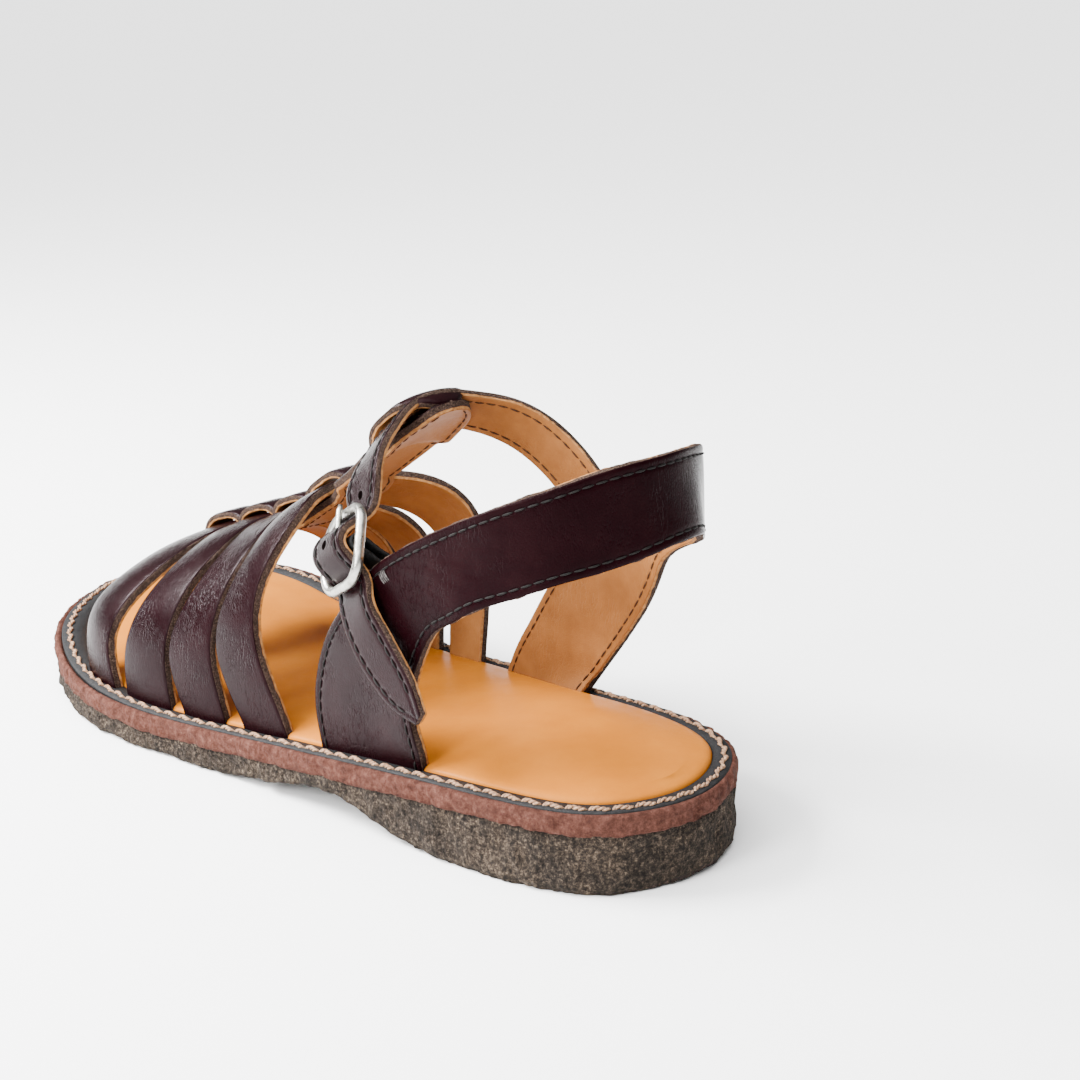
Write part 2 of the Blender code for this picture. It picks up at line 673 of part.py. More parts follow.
def buckle():
    spot, across, down, out = buckle_frame_axes()
    wide = BUCKLE_WIDTH / 2 - BUCKLE_WIRE / 2
    tall = BUCKLE_LENGTH / 2 - BUCKLE_WIRE / 2
    corner = 0.0032
    path = []
    for sx, sy, first in ((1, 1, 0), (-1, 1, 1), (-1, -1, 2), (1, -1, 3)):
        for k in range(6):
            turn = math.pi / 2 * (first + k / 5)
            x = sx * (wide - corner) + corner * math.cos(turn)
            y = sy * (tall - corner) + corner * math.sin(turn)
            path.append(spot + across * x + down * y)
    verts, faces = tube(path, BUCKLE_WIRE / 2, True)
    frame = build("buckle_frame", verts, faces, METAL_MAT, home)
    smooth(frame)
    bar = [spot + across * s * wide for s in (-1.0, -0.5, 0.0, 0.5, 1.0)]
    verts, faces = tube(bar, CENTRE_BAR_WIRE / 2, False)
    rod = build("centre_bar", verts, faces, METAL_MAT, slots)
    join(frame, rod, "UNION")

    hook = CENTRE_BAR_WIRE / 2 + GAP + PRONG_WIRE / 2
    path = []
    for turn in range(-110, 91, 25):
        angle = math.radians(turn)
        path.append(spot + down * hook * math.cos(angle) + out * hook * math.sin(angle))
    rest = BUCKLE_WIRE / 2 + GAP + PRONG_WIRE / 2
    path.append(spot - down * 0.5 * tall + out * (hook + rest) / 2)
    path.append(spot - down * tall + out * rest)
    path.append(spot - down * (tall + 0.0016) + out * (rest - 0.0001))
    verts, faces = tube(path, PRONG_WIRE / 2, False)
    prong = build("buckle_prong", verts, faces, PRONG_MAT, home)
    smooth(prong)

    # The slot in the strap that the prong comes through.
    low = spot + down * 0.0042 - out * 0.001
    side = across * (PRONG_WIRE / 2 + 0.0005)
    run = -down * (0.0042 + 0.62 * tall)
    rise = out * 0.009
    verts = [low + s * side + r * run + h * rise
             for s in (-1, 1) for r in (0, 1) for h in (0, 1)]
    faces = [(0, 1, 3, 2), (4, 6, 7, 5), (0, 4, 5, 1), (2, 3, 7, 6), (0, 2, 6, 4), (1, 5, 7, 3)]
    return build("prong_slot", verts, faces, UPPER_MAT, slots)


def elastic():
    # A band from inside the quarter corner, round the centre bar and back.
    spot, across, down, out = buckle_frame_axes()
    r = CENTRE_BAR_WIRE / 2 + GAP + ELASTIC_THICK / 2
    low = -0.0102
    path = [(0.0036 - r * 0.6, low - 0.0004), (0.0018 - r * 0.8, low * 0.5)]
    for turn in range(200, -21, -22):
        angle = math.radians(turn)
        path.append((r * math.cos(angle), r * math.sin(angle)))
    path += [(0.0018 + r * 0.8, low * 0.5), (0.0036 + r * 0.6, low + 0.0004)]
    path = np.array(path)
    slope = np.gradient(path, axis=0)
    slope = slope / np.linalg.norm(slope, axis=1)[:, None]
    normal = np.stack([-slope[:, 1], slope[:, 0]], axis=1)
    near = -across * (PRONG_WIRE / 2 + 2 * GAP + 0.0002)
    grids = []
    for side in (0.5, -0.5):
        line = path + normal * ELASTIC_THICK * side
        mid = spot + down * line[:, :1] + out * line[:, 1:]
        grids.append(np.stack([mid + near, mid + near - across * ELASTIC_WIDTH], axis=1))
    return slab("elastic_loop", grids[0], grids[1], ELASTIC_MAT, home)


def join(target, part, how):
    mod = target.modifiers.new(how.lower(), "BOOLEAN")
    mod.operation = how
    mod.solver = "EXACT"
    mod.object = part


OUTSOLE_MAT = material("crepe_rubber", (0.06, 0.05, 0.04), 0.85)
MIDSOLE_MAT = material("midsole_leather", (0.32, 0.14, 0.10), 0.8)
WELT_MAT = material("welt_leather", (0.02, 0.02, 0.02), 0.6)
FOOTBED_MAT = material("footbed_leather", (0.60, 0.30, 0.10), 0.45)
UPPER_MAT = material("strap_leather", (0.03, 0.012, 0.012), 0.3)
METAL_MAT = material("aged_nickel", (0.6, 0.58, 0.54), 0.3, 1.0)
PRONG_MAT = material("aged_nickel_prong", (0.6, 0.58, 0.54), 0.3, 1.0)
ELASTIC_MAT = material("black_elastic", (0.01, 0.01, 0.01), 0.9)

sole_parts()
upper = quarter()
parts = [vamp_strap(number) for number in (1, 2, 3, 4)]
parts.append(centre_strip())
parts.append(ankle_strap())
slot = buckle()
elastic()
for part in parts[4:] + parts[:4]:
    join(upper, part, "UNION")
join(upper, slot, "DIFFERENCE")

# The sole is centred on the origin.
bpy.context.view_layer.update()
edge = np.array([v.co[:] for v in bpy.data.objects["midsole"].data.vertices])
middle = (edge.max(axis=0) + edge.min(axis=0)) / 2
for thing in list(home.objects) + list(joiners.objects) + list(slots.objects):
    for vertex in thing.data.vertices:
        vertex.co.x -= middle[0]
        vertex.co.y -= middle[1]
for thing in list(joiners.objects) + list(slots.objects):
    thing.hide_render = True
    thing.display_type = "WIRE"
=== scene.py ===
import math
import bpy
import numpy as np
from mathutils import Matrix, Vector


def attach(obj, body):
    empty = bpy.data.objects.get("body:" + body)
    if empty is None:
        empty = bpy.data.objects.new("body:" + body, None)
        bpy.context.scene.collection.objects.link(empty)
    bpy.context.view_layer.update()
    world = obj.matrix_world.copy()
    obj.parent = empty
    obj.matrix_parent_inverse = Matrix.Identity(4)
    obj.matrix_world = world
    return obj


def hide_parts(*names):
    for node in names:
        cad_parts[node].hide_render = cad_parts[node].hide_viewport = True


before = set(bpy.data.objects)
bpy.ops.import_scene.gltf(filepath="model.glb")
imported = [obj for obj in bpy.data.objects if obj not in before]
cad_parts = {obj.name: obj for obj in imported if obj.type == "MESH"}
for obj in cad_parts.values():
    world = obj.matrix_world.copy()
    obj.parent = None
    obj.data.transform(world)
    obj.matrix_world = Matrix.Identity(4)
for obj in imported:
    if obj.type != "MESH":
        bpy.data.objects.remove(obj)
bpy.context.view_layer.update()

print("sandal: frame loaded")

# Sizes shared by all pieces, in metres. y starts at the back of the heel and x at the foot's axis;
# toFrame() moves finished points so the sole is centred on the origin.
sizes = {
    "length": 0.262, "breadth": 0.107, "heelDeck": 0.0208, "archLift": 0.0069, "axisSwing": 0.0134,
    "midsoleThick": 0.005, "recess": 0.0012, "strapInset": 0.006, "upperHeight": 0.103,
    "leather": 0.003, "ankleLeather": 0.0024, "sideBulge": 0.0025, "innerBulge": 0.004,
    "centre": (0.00500, 0.13101),
}
loopPoints = 4000
lastPower = 2.35
length = sizes["length"]
breadth = sizes["breadth"]
tall = sizes["upperHeight"]

# the tables hold thousandths
# share of length, lateral and medial half widths as shares of the breadth
soleSections = np.array([
    (0, 0, 0),
    (30, 209, 207),
    (80, 299, 298),
    (160, 350, 335),
    (280, 385, 344),
    (400, 406, 379),
    (520, 439, 398),
    (630, 489, 448),
    (720, 508, 469),
    (800, 474, 468),
    (880, 382, 413),
    (940, 251, 312),
    (980, 121, 178),
    (1000, 0, 0),
]) / 1000
# share of length, top of the sole as a share of the heel's height
deckLine = np.array([
    (0, 1000),
    (210, 957),
    (382, 750),
    (573, 548),
    (763, 611),
    (916, 731),
    (1000, 649),
]) / 1000
# share of length, underside as a share of the arch's lift
groundLine = np.array([
    (0, 72),
    (46, 0),
    (191, 0),
    (260, 304),
    (336, 1000),
    (427, 536),
    (527, 0),
    (725, 0),
    (782, 159),
    (897, 377),
    (1000, 522),
]) / 1000
# share of length, crest across, crest height, medial swelling
lastCrest = np.array([
    (324, 37, 1000, 1000),
    (363, 37, 951, 1000),
    (420, 42, 830, 1000),
    (481, 47, 714, 1000),
    (515, 51, 660, 1000),
    (555, 56, 597, 875),
    (620, 65, 529, 750),
    (691, 75, 466, 625),
    (760, 84, 403, 500),
    (821, 98, 335, 375),
]) / 1000
# girth share, then front and rear edge of straps one to four as shares of length
vampEdges = np.array([
    (-1000, 754, 694, 675, 603, 584, 522, 495, 429),
    (-800, 758, 704, 674, 609, 603, 540, 530, 468),
    (-600, 765, 698, 666, 605, 595, 538, 530, 479),
    (-400, 758, 689, 662, 603, 591, 534, 525, 471),
    (-150, 752, 687, 676, 616, 608, 552, 544, 488),
    (150, 746, 685, 679, 618, 611, 555, 546, 481),
    (400, 733, 674, 666, 603, 595, 536, 517, 447),
    (600, 729, 670, 658, 595, 582, 521, 494, 427),
    (800, 737, 674, 660, 595, 576, 511, 485, 426),
    (1000, 744, 681, 662, 595, 573, 508, 483, 431),
]) / 1000
# front or upper edge x, y, z, then rear or lower edge, as shares of breadth, length and height
quarterRows = np.array([
    (-325, 375, 165, -323, 238, 189),
    (-327, 385, 243, -327, 237, 243),
    (-333, 379, 350, -331, 245, 320),
    (-340, 360, 456, -336, 240, 408),
    (-351, 324, 568, -340, 224, 495),
    (-357, 278, 687, -344, 202, 573),
    (-357, 235, 761, -346, 177, 612),
    (-346, 177, 841, -339, 151, 654),
    (-323, 130, 899, -316, 120, 689),
    (-262, 82, 953, -254, 75, 740),
    (-159, 52, 990, -145, 42, 773),
    (-28, 42, 998, -28, 27, 799),
    (84, 51, 988, 93, 37, 790),
    (178, 69, 967, 168, 62, 753),
    (252, 93, 942, 241, 85, 715),
    (310, 130, 899, 301, 124, 664),
    (340, 188, 830, 318, 152, 618),
    (350, 240, 768, 327, 165, 570),
    (352, 275, 690, 330, 175, 516),
    (349, 288, 600, 331, 188, 456),
    (343, 305, 505, 329, 203, 396),
    (337, 325, 415, 326, 219, 338),
    (331, 345, 325, 322, 235, 281),
    (327, 365, 240, 318, 248, 233),
    (325, 383, 165, 314, 259, 189),
]) / 1000
ankleRows = np.array([
    (348, 279, 612, 351, 225, 684),
    (346, 303, 694, 350, 252, 767),
    (323, 328, 767, 331, 281, 850),
    (277, 351, 827, 290, 307, 920),
    (211, 372, 872, 221, 331, 969),
    (131, 388, 903, 136, 347, 996),
    (47, 396, 924, 49, 353, 1014),
    (-42, 395, 917, -34, 356, 1006),
    (-121, 385, 885, -112, 346, 981),
    (-193, 375, 847, -183, 333, 948),
    (-247, 364, 794, -247, 318, 889),
]) / 1000
tailRows = np.array([
    (-389, 295, 481, -393, 254, 575),
    (-391, 266, 410, -393, 230, 505),
    (-391, 238, 369, -393, 212, 443),
    (-391, 209, 355, -392, 202, 383),
]) / 1000


def spline(knots, values, at):
    # natural cubic spline: second derivatives from one linear solve, then the cubic in each span
    knots = np.asarray(knots, float)
    values = np.asarray(values, float)
    flat = values.ndim == 1
    values = values[:, None] if flat else values
    h = np.diff(knots)
    n = len(knots)
    a = np.eye(n)
    b = np.zeros((n, values.shape[1]))
    inner = np.arange(1, n - 1)
    a[inner, inner - 1] = h[:-1]
    a[inner, inner] = 2.0 * (h[:-1] + h[1:])
    a[inner, inner + 1] = h[1:]
    slope = np.diff(values, axis=0) / h[:, None]
    b[1:-1] = 6.0 * np.diff(slope, axis=0)
    m = np.linalg.solve(a, b)
    at = np.asarray(at, float)
    x = np.clip(at, knots[0], knots[-1]).ravel()
    k = np.clip(np.searchsorted(knots, x) - 1, 0, n - 2)
    left = (knots[k + 1] - x)[:, None]
    right = (x - knots[k])[:, None]
    step = h[k][:, None]
    out = (m[k] * left ** 3 + m[k + 1] * right ** 3) / (6.0 * step)
    out += (values[k] / step - m[k] * step / 6.0) * left
    out += (values[k + 1] / step - m[k + 1] * step / 6.0) * right
    return out[:, 0].reshape(at.shape) if flat else out.reshape(at.shape + (values.shape[1],))


def unit(v):
    v = np.asarray(v, float)
    return v / np.maximum(np.linalg.norm(v, axis=-1, keepdims=True), 1e-12)


def runAlong(line, power=1.0):
    # distance along a line of points, each step raised to the power
    steps = np.linalg.norm(np.diff(line, axis=0), axis=1) ** power
    return np.concatenate([[0.0], np.cumsum(steps)])


def lumps(points, size, seed):
    # smooth value noise: a hashed number at each lattice corner, blended with 3t^2 - 2t^3
    p = np.asarray(points) / size
    cell = np.floor(p).astype(np.int64)
    f = p - cell
    f = f * f * (3.0 - 2.0 * f)
    total = np.zeros(p.shape[:-1])
    for dx in (0, 1):
        for dy in (0, 1):
            for dz in (0, 1):
                h = (cell[..., 0] + dx) * 374761393 + (cell[..., 1] + dy) * 668265263
                h = h + (cell[..., 2] + dz) * 2147483647 + seed * 1274126177
                h = (h ^ (h >> 13)) * 1274126177
                h = ((h ^ (h >> 16)) & 0xFFFF) / 65535.0 * 2.0 - 1.0
                w = (f[..., 0] if dx else 1 - f[..., 0]) * (f[..., 1] if dy else 1 - f[..., 1])
                total += h * w * (f[..., 2] if dz else 1 - f[..., 2])
    return total


def toFrame(points):
    out = np.array(points, float)
    out[..., 0] -= sizes["centre"][0]
    out[..., 1] -= sizes["centre"][1]
    return out


def soleLoop():
    # closed spline through the section table, knots by the root of each chord
    along = soleSections[:, 0] * length
    bend = sizes["axisSwing"] * soleSections[:, 0] ** 2.2
    lateral = np.stack([bend - soleSections[:, 1] * breadth, along], axis=1)
    medial = np.stack([bend + soleSections[:, 2] * breadth, along], axis=1)
    points = np.vstack([lateral, medial[-2:0:-1]])
    tripled = np.vstack([points, points, points, points[:1]])
    knots = runAlong(tripled, 0.5)
    n = len(points)
    at = knots[n] + (knots[2 * n] - knots[n]) * np.arange(loopPoints) / loopPoints
    loop = spline(knots, tripled, at)
    return np.roll(loop, -int(np.argmin(loop[:, 1])), axis=0)


outline = soleLoop()
toeAt = int(np.argmax(outline[:, 1]))
tangent = unit(np.roll(outline, -8, axis=0) - np.roll(outline, 8, axis=0))
inward = np.stack([tangent[:, 1], -tangent[:, 0]], axis=1)


def deck(y):
    return sizes["heelDeck"] * spline(deckLine[:, 0], deckLine[:, 1], np.asarray(y) / length)


def ground(y):
    lift = spline(groundLine[:, 0], groundLine[:, 1], np.asarray(y) / length)
    return sizes["archLift"] * np.maximum(lift, 0.0)


def seat(y):
    return deck(y) - sizes["recess"] + 0.0003


def sideX(y, side, inset):
    loop = outline + inward * inset
    half = loop[:toeAt] if side < 0 else loop[toeAt:][::-1]
    return np.interp(y, half[:, 1], half[:, 0])


def makePiece(name, verts, faces, mats, stands=(), faceMats=None, attributes=None):
    mesh = bpy.data.meshes.new(name)
    mesh.from_pydata(toFrame(verts).tolist(), [], [tuple(f) for f in faces])
    for mat in mats:
        mesh.materials.append(mat)
    if faceMats is not None:
        mesh.polygons.foreach_set("material_index", np.asarray(faceMats, np.int32))
    mesh.polygons.foreach_set("use_smooth", np.ones(len(mesh.polygons), bool))
    for key, values in (attributes or {}).items():
        layer = mesh.attributes.new(key, "FLOAT", "POINT")
        layer.data.foreach_set("value", np.asarray(values, np.float32).ravel())
    mesh.validate()
    mesh.update()
    piece = bpy.data.objects.new(name, mesh)
    bpy.context.scene.collection.objects.link(piece)
    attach(piece, "root")
    if stands:
        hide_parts(*stands)
    return piece


def gridFaces(rows, cols, closedRows=False, closedCols=False, start=0):
    # quads of a rows x cols grid of points, optionally wrapped in either direction
    r = np.arange(rows if closedRows else rows - 1)
    c = np.arange(cols if closedCols else cols - 1)
    r, c = np.meshgrid(r, c, indexing="ij")
    r2 = (r + 1) % rows
    c2 = (c + 1) % cols
    quads = np.stack([r * cols + c, r * cols + c2, r2 * cols + c2, r2 * cols + c], axis=-1)
    return quads.reshape(-1, 4) + start


def gridNormals(grid):
    return unit(np.cross(np.gradient(grid, axis=0), np.gradient(grid, axis=1)))


def upNormals(grid):
    # normals of a grid, turned so that its middle faces up
    n = gridNormals(grid)
    return n if n[grid.shape[0] // 2, grid.shape[1] // 2, 2] > 0 else -n


def tubeMesh(path, radius, closed=False, sides=12):
    # circle of the given radius swept along the path, its frame carried from point to point
    path = np.asarray(path, float)
    if closed:
        along = unit(np.roll(path, -1, axis=0) - np.roll(path, 1, axis=0))
    else:
        along = unit(np.gradient(path, axis=0))
    ref = unit(np.cross(along[0], [0.31, 0.52, 0.79]))
    refs = []
    for t in along:
        ref = unit(ref - t * (ref @ t))
        refs.append(ref)
    refs = np.array(refs)
    other = np.cross(along, refs)
    turn = 2 * np.pi * np.arange(sides) / sides
    radius = np.broadcast_to(np.asarray(radius, float), (len(path),))[:, None, None]
    ring = refs[:, None] * np.cos(turn)[None, :, None] + other[:, None] * np.sin(turn)[None, :, None]
    verts = path[:, None] + ring * radius
    faces = gridFaces(len(path), sides, closed, True).tolist()
    if not closed:
        faces.append(list(range(sides))[::-1])
        faces.append([(len(path) - 1) * sides + k for k in range(sides)])
    return verts.reshape(-1, 3), faces


def joinMeshes(parts):
    verts = []
    faces = []
    count = 0
    for v, f in parts:
        verts.append(v)
        faces += [[count + k for k in face] for face in f]
        count += len(v)
    return np.vstack(verts), faces


def nodeGroup(name, inputs, outputs):
    group = bpy.data.node_groups.new(name, "ShaderNodeTree")
    for key, kind, value in inputs:
        item = group.interface.new_socket(key, in_out="INPUT", socket_type=kind)
        item.default_value = value
    for key, kind in outputs:
        group.interface.new_socket(key, in_out="OUTPUT", socket_type=kind)
    return group, group.nodes.new("NodeGroupInput"), group.nodes.new("NodeGroupOutput")


def link(tree, a, b):
    tree.links.new(a, b)


def addNoise(tree, vector, scale, detail=4.0, rough=0.6):
    node = tree.nodes.new("ShaderNodeTexNoise")
    node.inputs["Scale"].default_value = scale
    node.inputs["Detail"].default_value = detail
    node.inputs["Roughness"].default_value = rough
    link(tree, vector, node.inputs["Vector"])
    return node.outputs["Fac"]


def addRamp(tree, value, stops):
    node = tree.nodes.new("ShaderNodeValToRGB")
    while len(node.color_ramp.elements) < len(stops):
        node.color_ramp.elements.new(0.5)
    for element, (at, colour) in zip(node.color_ramp.elements, stops):
        element.position = at
        element.color = (*colour, 1.0) if len(colour) == 3 else colour
    link(tree, value, node.inputs["Fac"])
    return node.outputs["Color"]


def addMath(tree, kind, a, b=None, clamp=False, c=None):
    node = tree.nodes.new("ShaderNodeMath")
    node.operation = kind
    node.use_clamp = clamp
    for socket, value in zip(node.inputs, (a, b, c)):
        if value is None:
            continue
        if isinstance(value, (int, float)):
            socket.default_value = value
        else:
            link(tree, value, socket)
    return node.outputs[0]


def addMix(tree, factor, a, b, kind="MIX"):
    node = tree.nodes.new("ShaderNodeMix")
    node.data_type = "RGBA"
    node.blend_type = kind
    for key, value in (("Factor", factor), ("A", a), ("B", b)):
        wanted = "VALUE" if key == "Factor" else "RGBA"
        socket = [s for s in node.inputs if s.name == key and s.type == wanted][0]
        if isinstance(value, (int, float)):
            socket.default_value = value
        elif isinstance(value, tuple):
            socket.default_value = (*value, 1.0)
        else:
            link(tree, value, socket)
    return [s for s in node.outputs if s.type == "RGBA"][0]


def makeGrainGroup():
    # pores and fine creases of leather: two noises and cells, put out as a height and a mask
    group, fromOut, toIn = nodeGroup(
        "leatherGrain", [("Vector", "NodeSocketVector", (0, 0, 0)), ("Pores", "NodeSocketFloat", 1300.0)],
        [("Height", "NodeSocketFloat"), ("Patches", "NodeSocketFloat")])
    vector = fromOut.outputs["Vector"]
    cells = group.nodes.new("ShaderNodeTexVoronoi")
    cells.feature = "DISTANCE_TO_EDGE"
    link(group, vector, cells.inputs["Vector"])
    link(group, fromOut.outputs["Pores"], cells.inputs["Scale"])
    fine = addNoise(group, vector, 2600.0, 3.0)
    wide = addNoise(group, vector, 160.0, 5.0)
    edge = addMath(group, "MINIMUM", cells.outputs["Distance"], 0.12)
    height = addMath(group, "MULTIPLY_ADD", fine, 0.35, c=addMath(group, "MULTIPLY", edge, 2.2))
    height = addMath(group, "MULTIPLY_ADD", wide, 0.5, c=height)
    # short wrinkles: thin ridges 1 - |noise - 0.5| / 0.05 of a noise drawn out upwards, in patches
    longer = group.nodes.new("ShaderNodeMapping")
    longer.inputs["Scale"].default_value = (1.0, 1.0, 0.38)
    link(group, vector, longer.inputs["Vector"])
    ridge = addMath(group, "SUBTRACT", addNoise(group, longer.outputs["Vector"], 620.0, 2.0), 0.5)
    ridge = addMath(group, "MULTIPLY_ADD", addMath(group, "ABSOLUTE", ridge), -20.0, clamp=True, c=1.0)
    patch = addMath(group, "MULTIPLY_ADD", addNoise(group, vector, 75.0, 2.0), 6.0, clamp=True, c=-2.7)
    height = addMath(group, "MULTIPLY_ADD", addMath(group, "MULTIPLY", ridge, patch), -1.2, c=height)
    link(group, height, toIn.inputs["Height"])
    link(group, addNoise(group, vector, 55.0, 6.0, 0.65), toIn.inputs["Patches"])
    return group


grainGroup = makeGrainGroup()
holeRadius = 0.0013


def baseMaterial(name):
    mat = bpy.data.materials.new(name)
    mat.use_nodes = True
    tree = mat.node_tree
    return mat, tree, tree.nodes["Principled BSDF"], tree.nodes.new("ShaderNodeTexCoord").outputs["Object"]


def setSockets(shader, **values):
    for key, value in values.items():
        socket = shader.inputs[key.replace("_", " ")]
        socket.default_value = (*value, 1.0) if isinstance(value, tuple) and len(value) == 3 else value


def addBump(tree, shader, height, strength, distance):
    bump = tree.nodes.new("ShaderNodeBump")
    bump.inputs["Strength"].default_value = strength
    bump.inputs["Distance"].default_value = distance
    link(tree, height, bump.inputs["Height"])
    link(tree, bump.outputs["Normal"], shader.inputs["Normal"])


def mapRange(tree, value, low, high, fromLow=0.0, fromHigh=1.0):
    node = tree.nodes.new("ShaderNodeMapRange")
    for key, number in (("From Min", fromLow), ("From Max", fromHigh), ("To Min", low), ("To Max", high)):
        node.inputs[key].default_value = number
    link(tree, value, node.inputs["Value"])
    return node.outputs["Result"]


def holeMask(tree, coords, holes, radius):
    # 1 inside any of the punched holes, 0 outside, with a soft rim
    rim = 0.15
    mask = None
    for centre in holes:
        away = tree.nodes.new("ShaderNodeVectorMath")
        away.operation = "DISTANCE"
        link(tree, coords, away.inputs[0])
        away.inputs[1].default_value = tuple(centre)
        slope = -1.0 / (rim * radius)
        inside = addMath(tree, "MULTIPLY_ADD", away.outputs["Value"], slope, clamp=True, c=1.0 / rim)
        mask = inside if mask is None else addMath(tree, "MAXIMUM", mask, inside)
    return mask


def leatherMaterial(name, tones, rough, pores, strength, sheen, holes=(), fade=None):
    # tones run dark, middle, light; sheen is the level and tint of the surface reflection;
    # fade is two heights and the share of the shine that is left above the second
    mat, tree, shader, coords = baseMaterial(name)
    grain = tree.nodes.new("ShaderNodeGroup")
    grain.node_tree = grainGroup
    grain.inputs["Pores"].default_value = pores
    link(tree, coords, grain.inputs["Vector"])
    colour = addRamp(tree, grain.outputs["Patches"], list(zip((0.30, 0.52, 0.74), tones)))
    height = grain.outputs["Height"]
    level, tint = sheen
    setSockets(shader, Specular_IOR_Level=level, Specular_Tint=tint)
    # less shine above the second height is painted shade: it stands in for the darker surroundings the heel
    # strap reflects
    if fade:
        apart = tree.nodes.new("ShaderNodeSeparateXYZ")
        link(tree, coords, apart.inputs[0])
        shine = mapRange(tree, apart.outputs["Z"], level, level * fade[2], fade[0], fade[1])
        link(tree, shine, shader.inputs["Specular IOR Level"])
    if len(holes):
        # a punched hole is dished and without shine, and painted near black as painted shade inside the hole
        mask = holeMask(tree, coords, holes, holeRadius)
        colour = addMix(tree, mask, colour, (0.001, 0.0006, 0.0005))
        height = addMath(tree, "MULTIPLY_ADD", mask, -4.0, c=height)
        shine = addMath(tree, "MULTIPLY_ADD", mask, -level, c=level)
        link(tree, shine, shader.inputs["Specular IOR Level"])
    link(tree, colour, shader.inputs["Base Color"])
    gloss = mapRange(tree, addNoise(tree, coords, 240.0, 5.0), rough - 0.07, rough + 0.10)
    link(tree, gloss, shader.inputs["Roughness"])
    addBump(tree, shader, height, strength, 0.00025)
    return mat


def grey(value):
    return value, value, value


def plainMaterial(name, noise, stops, rough, level, relief, strength, depth):
    # colours from one noise, relief from another
    mat, tree, shader, coords = baseMaterial(name)
    link(tree, addRamp(tree, addNoise(tree, coords, *noise), stops), shader.inputs["Base Color"])
    setSockets(shader, Roughness=rough, Specular_IOR_Level=level)
    addBump(tree, shader, addNoise(tree, coords, *relief), strength, depth)
    return mat


def threadMaterial(name, dark, light, rough):
    stops = [(0.36, dark), (0.66, light)]
    return plainMaterial(name, (1500.0, 4.0, 0.7), stops, rough, 0.15, (3200.0, 3.0, 0.7), 0.5, 0.0002)


def edgeMaterial():
    # raw cut edge: fuzzy brown fibres, with the tan lining's thin line where "deep" nears 1
    mat, tree, shader, coords = baseMaterial("rawEdge")
    deep = tree.nodes.new("ShaderNodeAttribute")
    deep.attribute_name = "deep"
    wobble = addMath(tree, "MULTIPLY_ADD", addNoise(tree, coords, 420.0, 4.0), 0.35, c=-0.175)
    layer = addMath(tree, "ADD", deep.outputs["Fac"], wobble)
    fibre = addRamp(tree, addNoise(tree, coords, 2400.0, 4.0, 0.75),
                    [(0.34, (0.008, 0.005, 0.004)), (0.50, (0.034, 0.020, 0.015)),
                     (0.70, (0.12, 0.078, 0.058))])
    tan = addRamp(tree, addNoise(tree, coords, 900.0, 3.0),
                  [(0.3, (0.24, 0.10, 0.030)), (0.7, (0.46, 0.22, 0.080))])
    mask = addRamp(tree, layer, [(0.66, grey(0)), (0.74, grey(1))])
    link(tree, addMix(tree, mask, fibre, tan), shader.inputs["Base Color"])
    setSockets(shader, Roughness=0.95, Specular_IOR_Level=0.1)
    addBump(tree, shader, addNoise(tree, coords, 2100.0, 5.0, 0.8), 0.9, 0.0006)
    return mat


def crepeMaterial():
    mat, tree, shader, coords = baseMaterial("crepeRubber")
    specks = addRamp(tree, addNoise(tree, coords, 900.0, 6.0, 0.85),
                     [(0.38, (0.004, 0.003, 0.003)), (0.49, (0.028, 0.021, 0.016)),
                      (0.57, (0.080, 0.060, 0.046)), (0.68, (0.27, 0.20, 0.14))])
    dust = addRamp(tree, addNoise(tree, coords, 90.0, 5.0, 0.7),
                   [(0.42, grey(0.55)), (0.62, (1.0, 0.97, 0.92))])
    link(tree, addMix(tree, 1.0, specks, dust, "MULTIPLY"), shader.inputs["Base Color"])
    setSockets(shader, Roughness=0.95, Specular_IOR_Level=0.12)
    addBump(tree, shader, addNoise(tree, coords, 1100.0, 7.0, 0.8), 1.0, 0.0009)
    return mat


def metalMaterial():
    mat, tree, shader, coords = baseMaterial("agedNickel")
    tone = addRamp(tree, addNoise(tree, coords, 420.0, 5.0, 0.7),
                   [(0.30, (0.20, 0.19, 0.165)), (0.5, (0.40, 0.39, 0.355)), (0.7, (0.52, 0.52, 0.49))])
    link(tree, tone, shader.inputs["Base Color"])
    worn = addRamp(tree, addNoise(tree, coords, 700.0, 5.0, 0.7), [(0.35, grey(0.24)), (0.7, grey(0.46))])
    link(tree, worn, shader.inputs["Roughness"])
    setSockets(shader, Metallic=1.0)
    addBump(tree, shader, addNoise(tree, coords, 520.0, 5.0, 0.6), 0.35, 0.0005)
    return mat


# tones from dark to light, roughness, pores per metre, strength of the relief, level and tint of the shine
darkLeather = ([(0.0034, 0.0005, 0.0009), (0.0050, 0.0008, 0.0014), (0.0078, 0.0018, 0.0024)],
               0.21, 1500.0, 0.34, (0.060, (1.0, 0.80, 0.83)))
tanLeather = ([(0.165, 0.060, 0.014), (0.220, 0.086, 0.022), (0.280, 0.118, 0.034)],
              0.55, 1100.0, 0.34, (0.12, grey(1.0)))
bedLeather = ([(0.340, 0.105, 0.006), (0.375, 0.120, 0.008), (0.410, 0.137, 0.011)],
              0.34, 1700.0, 0.10, (0.08, (1.0, 0.82, 0.60)))
strapLeather = leatherMaterial("strapLeather", *darkLeather)
# the quarter's shine fades up the heel strap as painted shade
quarterLeather = leatherMaterial("quarterLeather", *darkLeather, fade=(0.045, 0.066, 0.36))
liningLeather = leatherMaterial("liningLeather", *tanLeather)
footbedLeather = leatherMaterial("footbedLeather", *bedLeather)
rawEdge = edgeMaterial()
crepeRubber = crepeMaterial()
